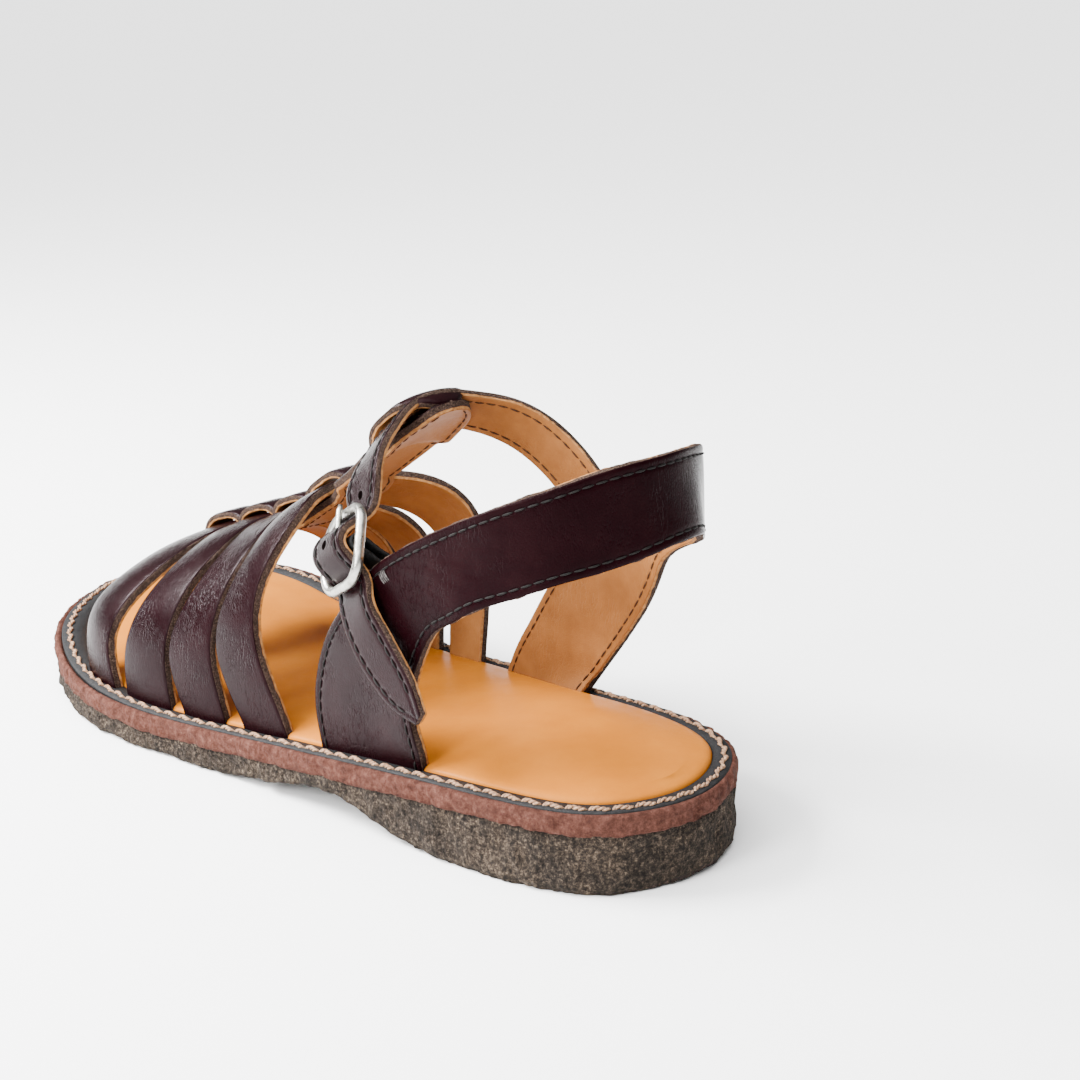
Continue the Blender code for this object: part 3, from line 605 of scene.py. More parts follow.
midsoleLeather = plainMaterial(
    "midsoleLeather", (520.0, 7.0, 0.8),
    [(0.30, (0.022, 0.007, 0.005)), (0.47, (0.070, 0.025, 0.017)), (0.60, (0.118, 0.047, 0.034)),
     (0.78, (0.25, 0.12, 0.092))], 0.95, 0.1, (900.0, 7.0, 0.8), 1.0, 0.0011)
weltLeather = plainMaterial(
    "weltLeather", (700.0, 5.0, 0.7), [(0.35, (0.0025, 0.0025, 0.0028)), (0.7, (0.013, 0.013, 0.014))],
    0.65, 0.2, (1500.0, 4.0, 0.7), 0.6, 0.0004)
weltThread = threadMaterial("weltThread", (0.13, 0.062, 0.034), (0.40, 0.25, 0.155), 0.85)
strapThread = threadMaterial("strapThread", (0.0012, 0.0010, 0.0010), (0.006, 0.005, 0.004), 0.7)
agedNickel = metalMaterial()
blackElastic = threadMaterial("blackElastic", grey(0.003), grey(0.014), 0.85)
liningThread = threadMaterial("liningThread", (0.016, 0.007, 0.003), (0.07, 0.03, 0.012), 0.8)
tackThread = threadMaterial("tackThread", (0.02, 0.018, 0.018), (0.14, 0.125, 0.12), 0.6)
print("sandal: materials made")


def ringAt(index, inset, heights):
    flat = outline[index] + inward[index] * np.asarray(inset)[..., None]
    return np.column_stack([flat, heights(flat[:, 1])])


def soleSolid(name, rings, mat, stands, columns=2, dome=0.0):
    # rings from the underside round the rim to the top; both ends closed by rows ruled side to side
    count = len(rings[0])
    half = count // 2
    faces = gridFaces(len(rings), count, False, True).tolist()
    verts = np.vstack(rings)
    for at, splits, lift in ((0, 2, 0.0), (len(rings) - 1, columns, dome)):
        ring = rings[at]
        i = np.arange(1, half)
        u = np.arange(1, splits) / splits
        mid = ring[i][:, None] * (1 - u)[None, :, None] + ring[count - i][:, None] * u[None, :, None]
        ends = np.minimum(1.0, 4.0 * np.minimum(i, half - i) / half)
        mid[..., 2] += lift * ends[:, None] * (1.0 - (2.0 * u - 1.0) ** 4)[None, :]
        base = at * count
        start = len(verts)
        verts = np.vstack([verts, mid.reshape(-1, 3)])
        inner = start + np.arange(mid.shape[0] * mid.shape[1]).reshape(mid.shape[:2])
        rows = np.concatenate([(base + i)[:, None], inner, (base + count - i)[:, None]], axis=1)
        quads = np.stack([rows[:-1, :-1], rows[:-1, 1:], rows[1:, 1:], rows[1:, :-1]], axis=-1).reshape(-1, 4)
        heel = np.stack([np.full(splits, base), rows[0, 1:], rows[0, :-1]], axis=-1)
        toe = np.stack([np.full(splits, base + half), rows[-1, :-1], rows[-1, 1:]], axis=-1)
        cap = quads.tolist() + heel.tolist() + toe.tolist()
        faces += cap if at == 0 else [f[::-1] for f in cap]
    makePiece(name, verts, faces, [mat], stands)


# stations per side, then depth and size of the lumps in the side walls
soleLook = {"stations": 450, "crepe": (0.0007, 0.0034), "midsole": (0.0006, 0.0026),
            "weltInner": 0.0066, "weltToe": 0.0032}
lateralIndex = np.linspace(0, toeAt, soleLook["stations"] + 1)
medialIndex = np.linspace(toeAt, loopPoints, soleLook["stations"] + 1)
loopIndex = np.round(np.concatenate([lateralIndex, medialIndex[1:-1]])).astype(int) % loopPoints


def toeShare(index):
    # 0 as far as the straps, rising smoothly to 1 round the toe, where the welt is wider
    t = np.clip((outline[index][:, 1] / length - 0.58) / 0.17, 0.0, 1.0)
    return t * t * (3.0 - 2.0 * t)


def evenRing(inset, heights):
    return ringAt(loopIndex, np.full(len(loopIndex), inset), heights)


def roughWall(insets, heightsList, lump, size, seed):
    # rings of a side wall, pushed in and out by two sizes of lumps
    rings = []
    for inset, heights in zip(insets, heightsList):
        ring = evenRing(inset, heights)
        push = lumps(ring, size, seed) * lump + lumps(ring, size * 0.35, seed + 1) * lump * 0.6
        ring[:, :2] += inward[loopIndex] * (push + lump * 0.4)[:, None]
        rings.append(ring)
    return rings


def buildSole():
    thick = sizes["midsoleThick"]
    share = (0.0, 0.12, 0.3, 0.5, 0.7, 0.88, 1.0)
    walls = [lambda y, s=s: ground(y) * (1 - s) + (deck(y) - thick - 0.0002) * s + 0.0002 for s in share]
    insets = (0.0012, 0.0004, 0.0003, 0.0005, 0.0006, 0.0006, 0.0008)
    rings = [evenRing(0.0035, ground)] + roughWall(insets, walls, *soleLook["crepe"], 3)
    soleSolid("crepeOutsole", rings, crepeRubber, ["outsole"])

    levels = [(0.0006, -1.10), (0.0000, -0.98), (-0.0001, -0.75), (0.0, -0.5), (0.0, -0.25), (0.0002, -0.10),
              (0.0006, -0.02)]
    heights = [lambda y, s=s: deck(y) + thick * s for _, s in levels]
    rings = roughWall([a for a, _ in levels], heights, *soleLook["midsole"], 11)
    rings += [evenRing(0.0015, deck), evenRing(0.0019, lambda y: deck(y) - 0.0010)]
    soleSolid("suedeMidsole", rings, midsoleLeather, ["midsole"])

    inner = soleLook["weltInner"]
    wider = soleLook["weltToe"] * toeShare(loopIndex)
    # inset, height above the midsole, share of the extra width round the toe
    weltProfile = ((0.0017, -0.0009, 0.2), (0.0016, 0.0001, 0.2), (0.0019, 0.0004, 0.2),
                   (0.0035, 0.00035, 0.5), (inner - 0.0003, 0.0003, 1.0), (inner, -0.0009, 1.0))
    rings = [ringAt(loopIndex, a + wider * k, lambda y, b=b: deck(y) + b) for a, b, k in weltProfile]
    soleSolid("weltStrip", rings, weltLeather, ["welt"])
    print("sandal: sole layers built")


def buildWeltStitch():
    # lockstitch of two strands twisted twice per stitch; every stitch slants across its line
    # and dips into the leather at both ends
    stitch = {"inset": 0.0034, "toe": 0.0013, "pitch": 0.0056, "strand": 0.00036, "twist": 0.00028,
              "lift": 0.00065, "dip": 0.0013, "slant": 0.00045, "points": 18}
    line = outline + inward * (stitch["inset"] + stitch["toe"] * toeShare(np.arange(loopPoints)))[:, None]
    run = runAlong(line)
    stitches = round(run[-1] / stitch["pitch"])
    at = np.linspace(0.0, run[-1], stitches * stitch["points"] + 1)[:-1]
    line = np.stack([np.interp(at, run, line[:, k]) for k in (0, 1)], axis=1)
    share = (np.arange(len(at)) % stitch["points"]) / stitch["points"]
    ahead = unit(np.roll(line, -1, axis=0) - np.roll(line, 1, axis=0))
    side = np.stack([ahead[:, 1], -ahead[:, 0]], axis=1)
    lean = stitch["slant"] * np.sin(2 * np.pi * (share - 0.5)) * 0.8
    sink = stitch["dip"] * np.abs(2 * share - 1) ** 5
    parts = []
    for k in (0.0, np.pi):
        turn = 4 * np.pi * share + k
        xy = line + side * (stitch["twist"] * np.cos(turn) + lean)[:, None]
        up = stitch["twist"] * np.sin(turn) + stitch["lift"] - sink
        path = np.column_stack([xy, deck(xy[:, 1]) + up])
        parts.append(tubeMesh(path, stitch["strand"], closed=True, sides=7))
    verts, faces = joinMeshes(parts)
    makePiece("weltLockstitch", verts, faces, [weltThread])
    print("sandal: welt stitched")


def buildFootbed():
    # tan insole: a rounded rim, then a dome that rises towards the middle
    pad = {"edge": 0.0066, "toe": 0.0034, "dome": 0.0016}
    profile = ((0.0, -0.0008), (-0.0001, 0.0003), (0.0003, 0.0009), (0.0010, 0.0013), (0.0022, 0.0016),
               (0.0045, 0.0019))
    edge = pad["edge"] + pad["toe"] * toeShare(loopIndex)
    rings = [ringAt(loopIndex, edge + a, lambda y, b=b: deck(y) + b) for a, b in profile]
    soleSolid("tanFootbed", rings, footbedLeather, ["footbed"], 24, pad["dome"])
    print("sandal: footbed built")


buildSole()
buildWeltStitch()
buildFootbed()


threadLook = {"pitch": 0.0033, "long": 0.0029, "thick": 0.00027, "rise": 0.0002, "edge": 0.0021,
              "under": 0.0001}
# distances from an edge that get their own column, the stitch line is the sixth
edgeColumns = np.array([0.0, 0.0003, 0.0007, 0.0012, 0.00165, 0.0021, 0.00255, 0.0030])
seamColumn = 5
edgeDepths = np.array([0.10, 0.3, 0.5, 0.7, 0.9])


def acrossPlace(width, innerCount):
    # shares across each row: fixed distances near both edges, even steps between them
    width = np.asarray(width, float)[:, None]
    edge = edgeColumns[None, :] * np.minimum(1.0, width / (2.4 * edgeColumns[-1])) / width
    inner = np.linspace(0.0, 1.0, innerCount + 2)[None, 1:-1]
    middle = edge[:, -1:] + (1.0 - 2.0 * edge[:, -1:]) * inner
    return np.concatenate([edge, middle, 1.0 - edge[:, ::-1]], axis=1)


edgeLook = {"round": 0.0003, "fuzz": 0.00018, "bulge": 0.00015, "groove": 0.00024, "grooveHalf": 0.0005}


def strapBody(name, outer, normal, thick, seed, seam=0.0, face=strapLeather, lining=liningLeather, stands=()):
    # closed strip: the outer grid, its face shifted inward by the thickness, and bulged raw edges between
    rows, cols = outer.shape[:2]
    across = unit(np.gradient(outer, axis=1))
    arc = np.cumsum(np.linalg.norm(np.diff(outer, axis=1), axis=2), axis=1)
    arc = np.concatenate([np.zeros((rows, 1)), arc], axis=1)
    fromEdge = np.minimum(arc, arc[:, -1:] - arc)
    drop = edgeLook["round"] * np.clip(1.0 - fromEdge / (2.2 * edgeLook["round"]), 0.0, 1.0) ** 2
    groove = edgeLook["groove"] * np.exp(-((fromEdge - seam) / edgeLook["grooveHalf"]) ** 2) * (seam > 0.0)
    top = outer - normal * (drop + groove)[..., None]
    under = outer - normal * (thick - drop * 0.5)[..., None]
    bulge = np.sin(np.pi * edgeDepths) * edgeLook["bulge"]
    fuzz = edgeLook["fuzz"]
    ends = []
    for col, sign in ((cols - 1, 1.0), (0, -1.0)):
        depth = drop[:, col:col + 1] + (thick - 1.5 * drop[:, col:col + 1]) * edgeDepths[None, :]
        wall = outer[:, col][:, None] - normal[:, col][:, None] * depth[..., None]
        shake = lumps(wall, 0.0009, seed) * fuzz + lumps(wall, 0.004, seed + 5) * fuzz * 1.4
        wall = wall + across[:, col][:, None] * sign * (bulge[None, :] + shake)[..., None]
        ends.append(wall)
    loop = np.concatenate([top, ends[0], under[:, ::-1], ends[1][:, ::-1]], axis=1)
    around = loop.shape[1]
    deep = np.concatenate([np.zeros(cols), edgeDepths, np.ones(cols), edgeDepths[::-1]])
    faces = gridFaces(rows, around, False, True)
    segment = np.tile(np.arange(around), rows - 1)
    kind = np.where(segment < cols - 1, 0, np.where((segment >= cols + 5) & (segment < 2 * cols + 4), 2, 1))
    faceList = faces.tolist()
    kinds = kind.tolist()
    e = len(edgeDepths)
    for row, flip in ((0, False), (rows - 1, True)):
        base = row * around
        far = base + 2 * cols + e - 1
        cap = [[base + k, base + k + 1, far - 1 - k, far - k] for k in range(cols - 1)]
        cap.append([base + k for k in range(cols - 1, cols + e + 1)])
        cap.append([base + (2 * cols + e - 1 + k) % around for k in range(e + 2)])
        cap = cap if flip else [f[::-1] for f in cap]
        faceList += cap
        kinds += [1] * len(cap)
    verts = loop.reshape(-1, 3)
    probe = np.cross(verts[faces[0][1]] - verts[faces[0][0]], verts[faces[0][3]] - verts[faces[0][0]])
    if probe @ normal[0, 0] < 0:
        faceList = [f[::-1] for f in faceList]
    makePiece(name, verts, faceList, [face, rawEdge, lining], stands, kinds,
              {"deep": np.tile(deep, rows)})


def lastPoint(y, girth):
    # inner face of the vamp: |x/a|^p + |z/h|^p = 1 with p = lastPower, plus a side bulge
    crest = spline(lastCrest[:, 0], lastCrest[:, 1:], y / length)
    centre = crest[..., 0] * breadth
    top = crest[..., 1] * tall
    swell = np.where(girth < 0, sizes["sideBulge"], sizes["innerBulge"] * crest[..., 2])
    inset = sizes["strapInset"] + sizes["leather"]
    base = np.where(girth < 0, sideX(y, -1, inset), sideX(y, 1, inset))
    foot = seat(y)
    turn = (1.0 - np.abs(girth)) * np.pi / 2
    power = 2.0 / lastPower
    reach = np.abs(base - centre) * np.abs(np.cos(turn)) ** power
    lobe = np.abs(np.sin(np.pi * np.clip((1.0 - np.abs(girth)) / 0.75, 0.0, 1.0))) ** 1.5
    x = centre + np.where(girth < 0, -1.0, 1.0) * (reach + swell * lobe)
    return np.stack([x, y, foot + (top - foot) * np.abs(np.sin(turn)) ** power], axis=-1)


vampLook = {"alongSteps": 181, "innerColumns": 7, "crown": 0.0005, "ease": 0.9, "rippleSize": 0.014,
            "ripple": 0.00022}


def buildVampStrap(number):
    ease = np.linspace(-1.0, 1.0, vampLook["alongSteps"])
    girth = np.sign(ease) * np.abs(ease) ** vampLook["ease"]
    edges = spline(vampEdges[:, 0], vampEdges[:, 2 * number - 1:2 * number + 1], girth)
    place = acrossPlace(np.abs(edges[:, 1] - edges[:, 0]) * length, vampLook["innerColumns"])
    y = length * (edges[:, :1] * (1 - place) + edges[:, 1:] * place)
    inner = lastPoint(y, np.repeat(girth[:, None], place.shape[1], axis=1))
    n = upNormals(inner)
    swell = vampLook["crown"] * (1 - (2 * place - 1) ** 2)[..., None]
    ripple = lumps(inner, vampLook["rippleSize"], 20 + number)[..., None] * vampLook["ripple"]
    outer = inner + n * (sizes["leather"] + swell + ripple)
    strapBody("vampStrap%d" % number, outer, n, sizes["leather"], 40 + number)


for number in (1, 2, 3, 4):
    buildVampStrap(number)
print("sandal: vamp straps built")


def bandGrid(rows, alongCount, innerCount, outward):
    # two edge lines splined along the band, ruled across; normals turned to face outward
    front = rows[:, :3]
    rear = rows[:, 3:]
    knots = runAlong((front + rear) / 2)
    line = spline(knots, rows, np.linspace(0.0, knots[-1], alongCount))
    place = acrossPlace(np.linalg.norm(line[:, :3] - line[:, 3:], axis=1), innerCount)[..., None]
    outer = line[:, None, :3] * (1 - place) + line[:, None, 3:] * place
    n = gridNormals(outer)
    probe = alongCount // 2
    middle = place.shape[1] // 2
    flip = 1.0 if n[probe, middle] @ outward(outer[probe, middle]) > 0 else -1.0
    return outer, n * flip, place[..., 0]


def scaled(table):
    return table * np.array([breadth, length, tall] * 2)


def stitchRow(line, up, pitch, long, thick, rise, begin=0.0, finish=1.0):
    # short capsules along a line, each a little arched and sunk at its ends
    run = runAlong(line)
    starts = np.arange(begin * run[-1], finish * run[-1] - long, pitch)
    step = np.linspace(0.0, 1.0, 6)
    at = starts[:, None] + long * step[None, :]
    centre = np.stack([np.interp(at, run, line[:, j]) for j in range(3)], axis=-1)
    lift = np.stack([np.interp(at, run, up[:, j]) for j in range(3)], axis=-1)
    centre = centre + lift * (rise * np.sin(np.pi * step) ** 0.7 - 0.0002)[None, :, None]
    ahead = unit(np.gradient(centre, axis=1))
    side = unit(np.cross(ahead, lift))
    over = np.cross(side, ahead)
    turn = 2 * np.pi * np.arange(6) / 6
    size = thick * (0.45 + 0.55 * np.sin(np.pi * step) ** 0.5)[None, :, None, None]
    ring = side[:, :, None] * np.cos(turn)[:, None] + over[:, :, None] * np.sin(turn)[:, None]
    verts = centre[:, :, None] + ring * size
    one = gridFaces(6, 6, False, True).tolist() + [[5, 4, 3, 2, 1, 0], [30, 31, 32, 33, 34, 35]]
    faces = [[i * 36 + k for k in face] for i in range(len(starts)) for face in one]
    return verts.reshape(-1, 3), faces


tackLook = {"count": 4, "apart": 0.0007, "half": 0.0019, "long": 0.0036, "thick": 0.00018, "rise": 0.0004}


def bartack(outer, normal, place):
    # short stitches side by side, square to the strap, at the grid point nearest the place
    away = np.linalg.norm(outer - place, axis=2)
    i, j = np.unravel_index(int(np.argmin(away)), away.shape)
    ahead = unit(outer[i + 1, j] - outer[i - 1, j])
    side = np.cross(normal[i, j], ahead)
    up = np.repeat(normal[i, j][None], 5, axis=0)
    rows = []
    look = [tackLook[key] for key in ("long", "thick", "rise")]
    for k in range(tackLook["count"]):
        middle = outer[i, j] + ahead * tackLook["apart"] * (k - (tackLook["count"] - 1) / 2)
        line = middle + side * np.linspace(-tackLook["half"], tackLook["half"], 5)[:, None]
        rows.append(stitchRow(line, up, 1.0, *look))
    return rows


def addStitches(name, grids, mat):
    verts, faces = joinMeshes(grids)
    makePiece(name, verts, faces, [mat])


def edgeStitches(outer, normal, begin, finish):
    look = [threadLook[key] for key in ("pitch", "long", "thick", "rise")]
    return [stitchRow(outer[:, k], normal[:, k], *look, begin, finish) for k in (seamColumn, -1 - seamColumn)]


quarterLook = {
    "steps": 460, "innerColumns": 23, "bartack": (-0.038, 0.0683, 0.0696), "seam": (0.004, 0.996),
    "lumpSize": 0.013, "lump": 0.0004, "bend": 9.0, "ridge": 0.45, "ridgeAway": 1.8,
    # creases where the strap leaves the quarter: share along, share across, turn in degrees,
    # half length, half width and depth in metres
    "creases": [
        (0.225, 0.62, 62, 0.0039, 0.0007, 0.00010), (0.238, 0.40, 55, 0.0046, 0.0007, 0.00011),
        (0.252, 0.66, 48, 0.0036, 0.0006, 0.00009), (0.262, 0.34, 44, 0.0042, 0.0008, 0.00011),
        (0.276, 0.58, 36, 0.0046, 0.0007, 0.00010), (0.290, 0.40, 28, 0.0039, 0.0007, 0.00009),
        (0.305, 0.62, 22, 0.0042, 0.0006, 0.00008), (0.322, 0.36, 16, 0.0046, 0.0007, 0.00008),
        (0.345, 0.55, 10, 0.0052, 0.0007, 0.00007), (0.660, 0.45, -20, 0.0046, 0.0008, 0.00008),
        (0.690, 0.60, -30, 0.0042, 0.0008, 0.00008),
    ],
}


def buildQuarter():
    rows = scaled(quarterRows)
    for end, side in ((0, -1), (-1, 1)):
        for at in (0, 3):
            rows[end, at] = sideX(rows[end, at + 1], side, sizes["strapInset"])
            rows[end, at + 2] = seat(rows[end, at + 1])
    middle = np.array([0.0, 0.25 * length, 0.0])
    outer, n, b = bandGrid(rows, quarterLook["steps"], quarterLook["innerColumns"],
                           lambda p: (p - middle) * [1.0, 1.0, 0.0])
    # a crease is a trough exp(-(u/long)^2 - (v/wide)^2) in its own turned directions u and v, with a
    # low ridge beside it
    middleLine = outer[:, outer.shape[1] // 2]
    run = runAlong(middleLine)
    width = np.linalg.norm(outer[:, -1] - outer[:, 0], axis=1)[:, None]
    dent = lumps(outer, quarterLook["lumpSize"], 61) * quarterLook["lump"]
    for along, side, turn, long, wide, deep in quarterLook["creases"]:
        ahead = (run - along * run[-1])[:, None]
        aside = (b - side) * width
        c, s = math.cos(math.radians(turn)), math.sin(math.radians(turn))
        u = ahead * c + aside * s
        v = aside * c - ahead * s + quarterLook["bend"] * u * u
        dent = dent - deep * np.exp(-(u / long) ** 2 - (v / wide) ** 2)
        beside = (v - quarterLook["ridgeAway"] * wide) / wide
        dent = dent + quarterLook["ridge"] * deep * np.exp(-(u / long) ** 2 - beside ** 2)
    outer = outer + n * dent[..., None]
    strapBody("quarterAndHeelStrap", outer, n, sizes["leather"], 70, threadLook["edge"], quarterLeather,
              stands=["upper"])
    addStitches("quarterStitches", edgeStitches(outer, n, *quarterLook["seam"]), strapThread)
    addStitches("quarterBartack", bartack(outer, n, quarterLook["bartack"]), tackThread)
    inside = outer - n * (sizes["leather"] + threadLook["under"])
    addStitches("quarterLiningStitches", edgeStitches(inside, -n, *quarterLook["seam"]), liningThread)


buildQuarter()
print("sandal: quarter and heel strap built")

buckleLook = {
    "spot": np.array([-0.350 * breadth, 0.317 * length, 0.711 * tall]),
    "across": (0.13, 0.85, -0.51), "down": (-0.48, -0.40, -0.78),
    "width": 0.0212, "long": 0.022, "wire": 0.0026, "bar": 0.0022, "prong": 0.0016, "corner": 0.0060,
}
across = unit(buckleLook["across"])
down = np.array(buckleLook["down"])
down = unit(down - across * (down @ across))
out = np.cross(across, down)
out = out if out[0] < 0 else -out
spot = buckleLook["spot"]
barAt = buckleLook["long"] / 2 - buckleLook["wire"] / 2


def buildBuckle():
    wide = buckleLook["width"] / 2 - buckleLook["wire"] / 2
    corner = buckleLook["corner"]
    turn = np.linspace(0, np.pi / 2, 12)
    path = []
    for sx, sy, first in ((1, 1, 0), (-1, 1, 1), (-1, -1, 2), (1, -1, 3)):
        angle = turn + first * np.pi / 2
        x = sx * (wide - corner) + corner * np.cos(angle)
        path.append(np.stack([x, sy * (barAt - corner) + corner * np.sin(angle)], axis=1))
    path = np.vstack(path)
    # the frame bows outward a little across its length
    bow = 0.0006 * (1 - (path[:, 1] / barAt) ** 2)
    ring = spot + across * path[:, :1] + down * path[:, 1:] + out * bow[:, None]
    verts, faces = tubeMesh(ring, buckleLook["wire"] / 2, closed=True, sides=16)
    bar = spot + across * np.linspace(-wide, wide, 9)[:, None]
    barMesh = tubeMesh(bar, buckleLook["bar"] / 2, sides=14)
    verts, faces = joinMeshes([(verts, faces), barMesh])
    makePiece("buckleFrame", verts, faces, [agedNickel], ["buckle_frame"])
    hook = buckleLook["bar"] / 2 + 0.0003 + buckleLook["prong"] / 2
    angle = np.radians(np.arange(-110, 91, 10))
    curl = spot + down * hook * np.cos(angle)[:, None] + out * hook * np.sin(angle)[:, None]
    rest = buckleLook["wire"] / 2 + 0.0002 + buckleLook["prong"] / 2
    tip = [spot - down * a + out * h for a, h in (
        (0.25 * barAt, hook * 0.9 + rest * 0.1 + 0.0002), (0.5 * barAt, (hook + rest) / 2),
        (0.8 * barAt, rest), (barAt, rest), (barAt + 0.0016, rest - 0.0002))]
    path = np.vstack([curl, tip])
    radius = np.full(len(path), buckleLook["prong"] / 2)
    radius[-1] *= 0.7
    verts, faces = tubeMesh(path, radius, sides=12)
    makePiece("buckleProng", verts, faces, [agedNickel], ["buckle_prong"])


# rows and columns, half width as a share of the buckle's, lumps, holes up the strap from the first
ankleLook = {"steps": 360, "innerColumns": 7, "half": 0.345, "lumpSize": 0.012, "lump": 0.0003,
             "holes": (0.0, 0.009, 0.018), "nearBar": 0.012, "seam": (0.01, 0.975)}


def buildAnkleStrap():
    half = ankleLook["half"] * buckleLook["width"]
    under = -(buckleLook["wire"] / 2 + 0.0009)
    over = buckleLook["bar"] / 2 + 0.0006 + 0.0008 + 0.0003 + sizes["ankleLeather"]
    crossing = []
    for a, h in ((-barAt - 0.002, under - 0.0006), (-barAt, under), (-0.0018, over), (0.0018, over),
                 (barAt, under), (barAt + 0.002, under - 0.0004)):
        mid = spot + down * a + out * h
        crossing.append(np.concatenate([mid + across * half, mid - across * half]))
    rows = np.vstack([scaled(ankleRows), crossing, scaled(tailRows)])
    middle = np.array([0.0, 0.36 * length, 0.5 * tall])
    outer, n, _ = bandGrid(rows, ankleLook["steps"], ankleLook["innerColumns"], lambda p: p - middle)
    outer = outer + n * (lumps(outer, ankleLook["lumpSize"], 81) * ankleLook["lump"])[..., None]
    # spare holes: the first one shows on the hump over the centre bar, the rest follow up the strap
    column = outer.shape[1] // 2
    middleLine = outer[:, column]
    run = runAlong(middleLine)
    far = np.linalg.norm(middleLine - spot, axis=1) > ankleLook["nearBar"]
    first = run[int(np.argmax((middleLine - spot) @ out - 10.0 * far))]
    holes = []
    for back in ankleLook["holes"]:
        k = int(np.argmin(np.abs(run - (first - back))))
        holes.append(toFrame(outer[k, column]))
        holes.append(toFrame(outer[k, column] - n[k, column] * sizes["ankleLeather"]))
    punched = leatherMaterial("punchedLeather", *darkLeather, holes)
    punchedLining = leatherMaterial("punchedLining", *tanLeather, holes)
    strapBody("ankleStrap", outer, n, sizes["ankleLeather"], 90, threadLook["edge"], punched, punchedLining)
    addStitches("ankleStitches", edgeStitches(outer, n, *ankleLook["seam"]), strapThread)
    inside = outer - n * (sizes["ankleLeather"] + threadLook["under"])
    addStitches("ankleLiningStitches", edgeStitches(inside, -n, *ankleLook["seam"]), liningThread)


def buildElastic():
    # ribbed black band: a U round the centre bar whose two legs run in behind the quarter
    band = {"wide": 0.0058, "thick": 0.0008, "low": -0.0102}
    r = buckleLook["bar"] / 2 + 0.0003 + band["thick"] / 2
    angle = np.radians(np.arange(200, -21, -11))
    low = band["low"]
    path = np.vstack([[(0.0036 - r * 0.6, low - 0.0004), (0.0018 - r * 0.8, low * 0.5)],
                      np.stack([r * np.cos(angle), r * np.sin(angle)], axis=1),
                      [(0.0018 + r * 0.8, low * 0.5), (0.0036 + r * 0.6, low + 0.0004)]])
    knots = runAlong(path)
    path = spline(knots, path, np.linspace(0, knots[-1], 60))
    slope = unit(np.gradient(path, axis=0))
    side = np.stack([-slope[:, 1], slope[:, 0]], axis=1)
    place = np.linspace(0.0, 1.0, 29)
    rib = 0.00008 * np.cos(place * 28 * np.pi)
    near = -across * (buckleLook["prong"] / 2 + 0.0008)
    sheets = []
    for sign in (0.5, -0.5):
        line = path[:, None] + side[:, None] * (band["thick"] + rib * 2)[None, :, None] * sign
        shift = near - across * (place * band["wide"])[None, :, None]
        sheets.append(spot + down * line[..., :1] + out * line[..., 1:] + shift)
    loop = np.concatenate([sheets[0], sheets[1][:, ::-1]], axis=1)
    rows, cols = loop.shape[:2]
    faces = gridFaces(rows, cols, False, True).tolist()
    half = cols // 2
    for row, flip in ((0, False), (rows - 1, True)):
        base = row * cols
        far = base + cols - 1
        cap = [[base + k, base + k + 1, far - 1 - k, far - k] for k in range(half - 1)]
        faces += cap if flip else [f[::-1] for f in cap]
    makePiece("elasticLoop", loop.reshape(-1, 3), faces, [blackElastic], ["elastic_loop"])


buildBuckle()
buildAnkleStrap()
buildElastic()
print("sandal: ankle strap and buckle built")


stripLook = {"width": 0.020, "bridge": 0.0085, "reach": 0.0042, "front": 0.764, "rear": 0.336,
             "thick": 0.0028, "outer": 0.0022, "crestHalf": 0.36, "leaf": (0.27, 0.12, 0.11),
             "tip": 0.085, "tipPower": 2.4, "nose": 0.045, "arch": 3.2, "leafBridge": 0.90}


def crestGrid(y, offset):
    crest = spline(lastCrest[:, 0], lastCrest[:, 1:], y / length)
    foot = seat(y)
    fall = (1.0 - np.abs(offset / (stripLook["crestHalf"] * breadth)) ** lastPower) ** (1.0 / lastPower)
    z = foot + (crest[..., 1] * tall - foot) * fall
    return np.stack([crest[..., 0] * breadth + offset, y, z], axis=-1)


def strapWindows():
    mid = spline(vampEdges[:, 0], vampEdges[:, 1:], np.array(0.0))
    windows = [(mid[2 * k + 1] * length, mid[2 * k] * length) for k in range(4)]
    windows.append((ankleRows[6, 4] * length, ankleRows[6, 1] * length))
    return windows


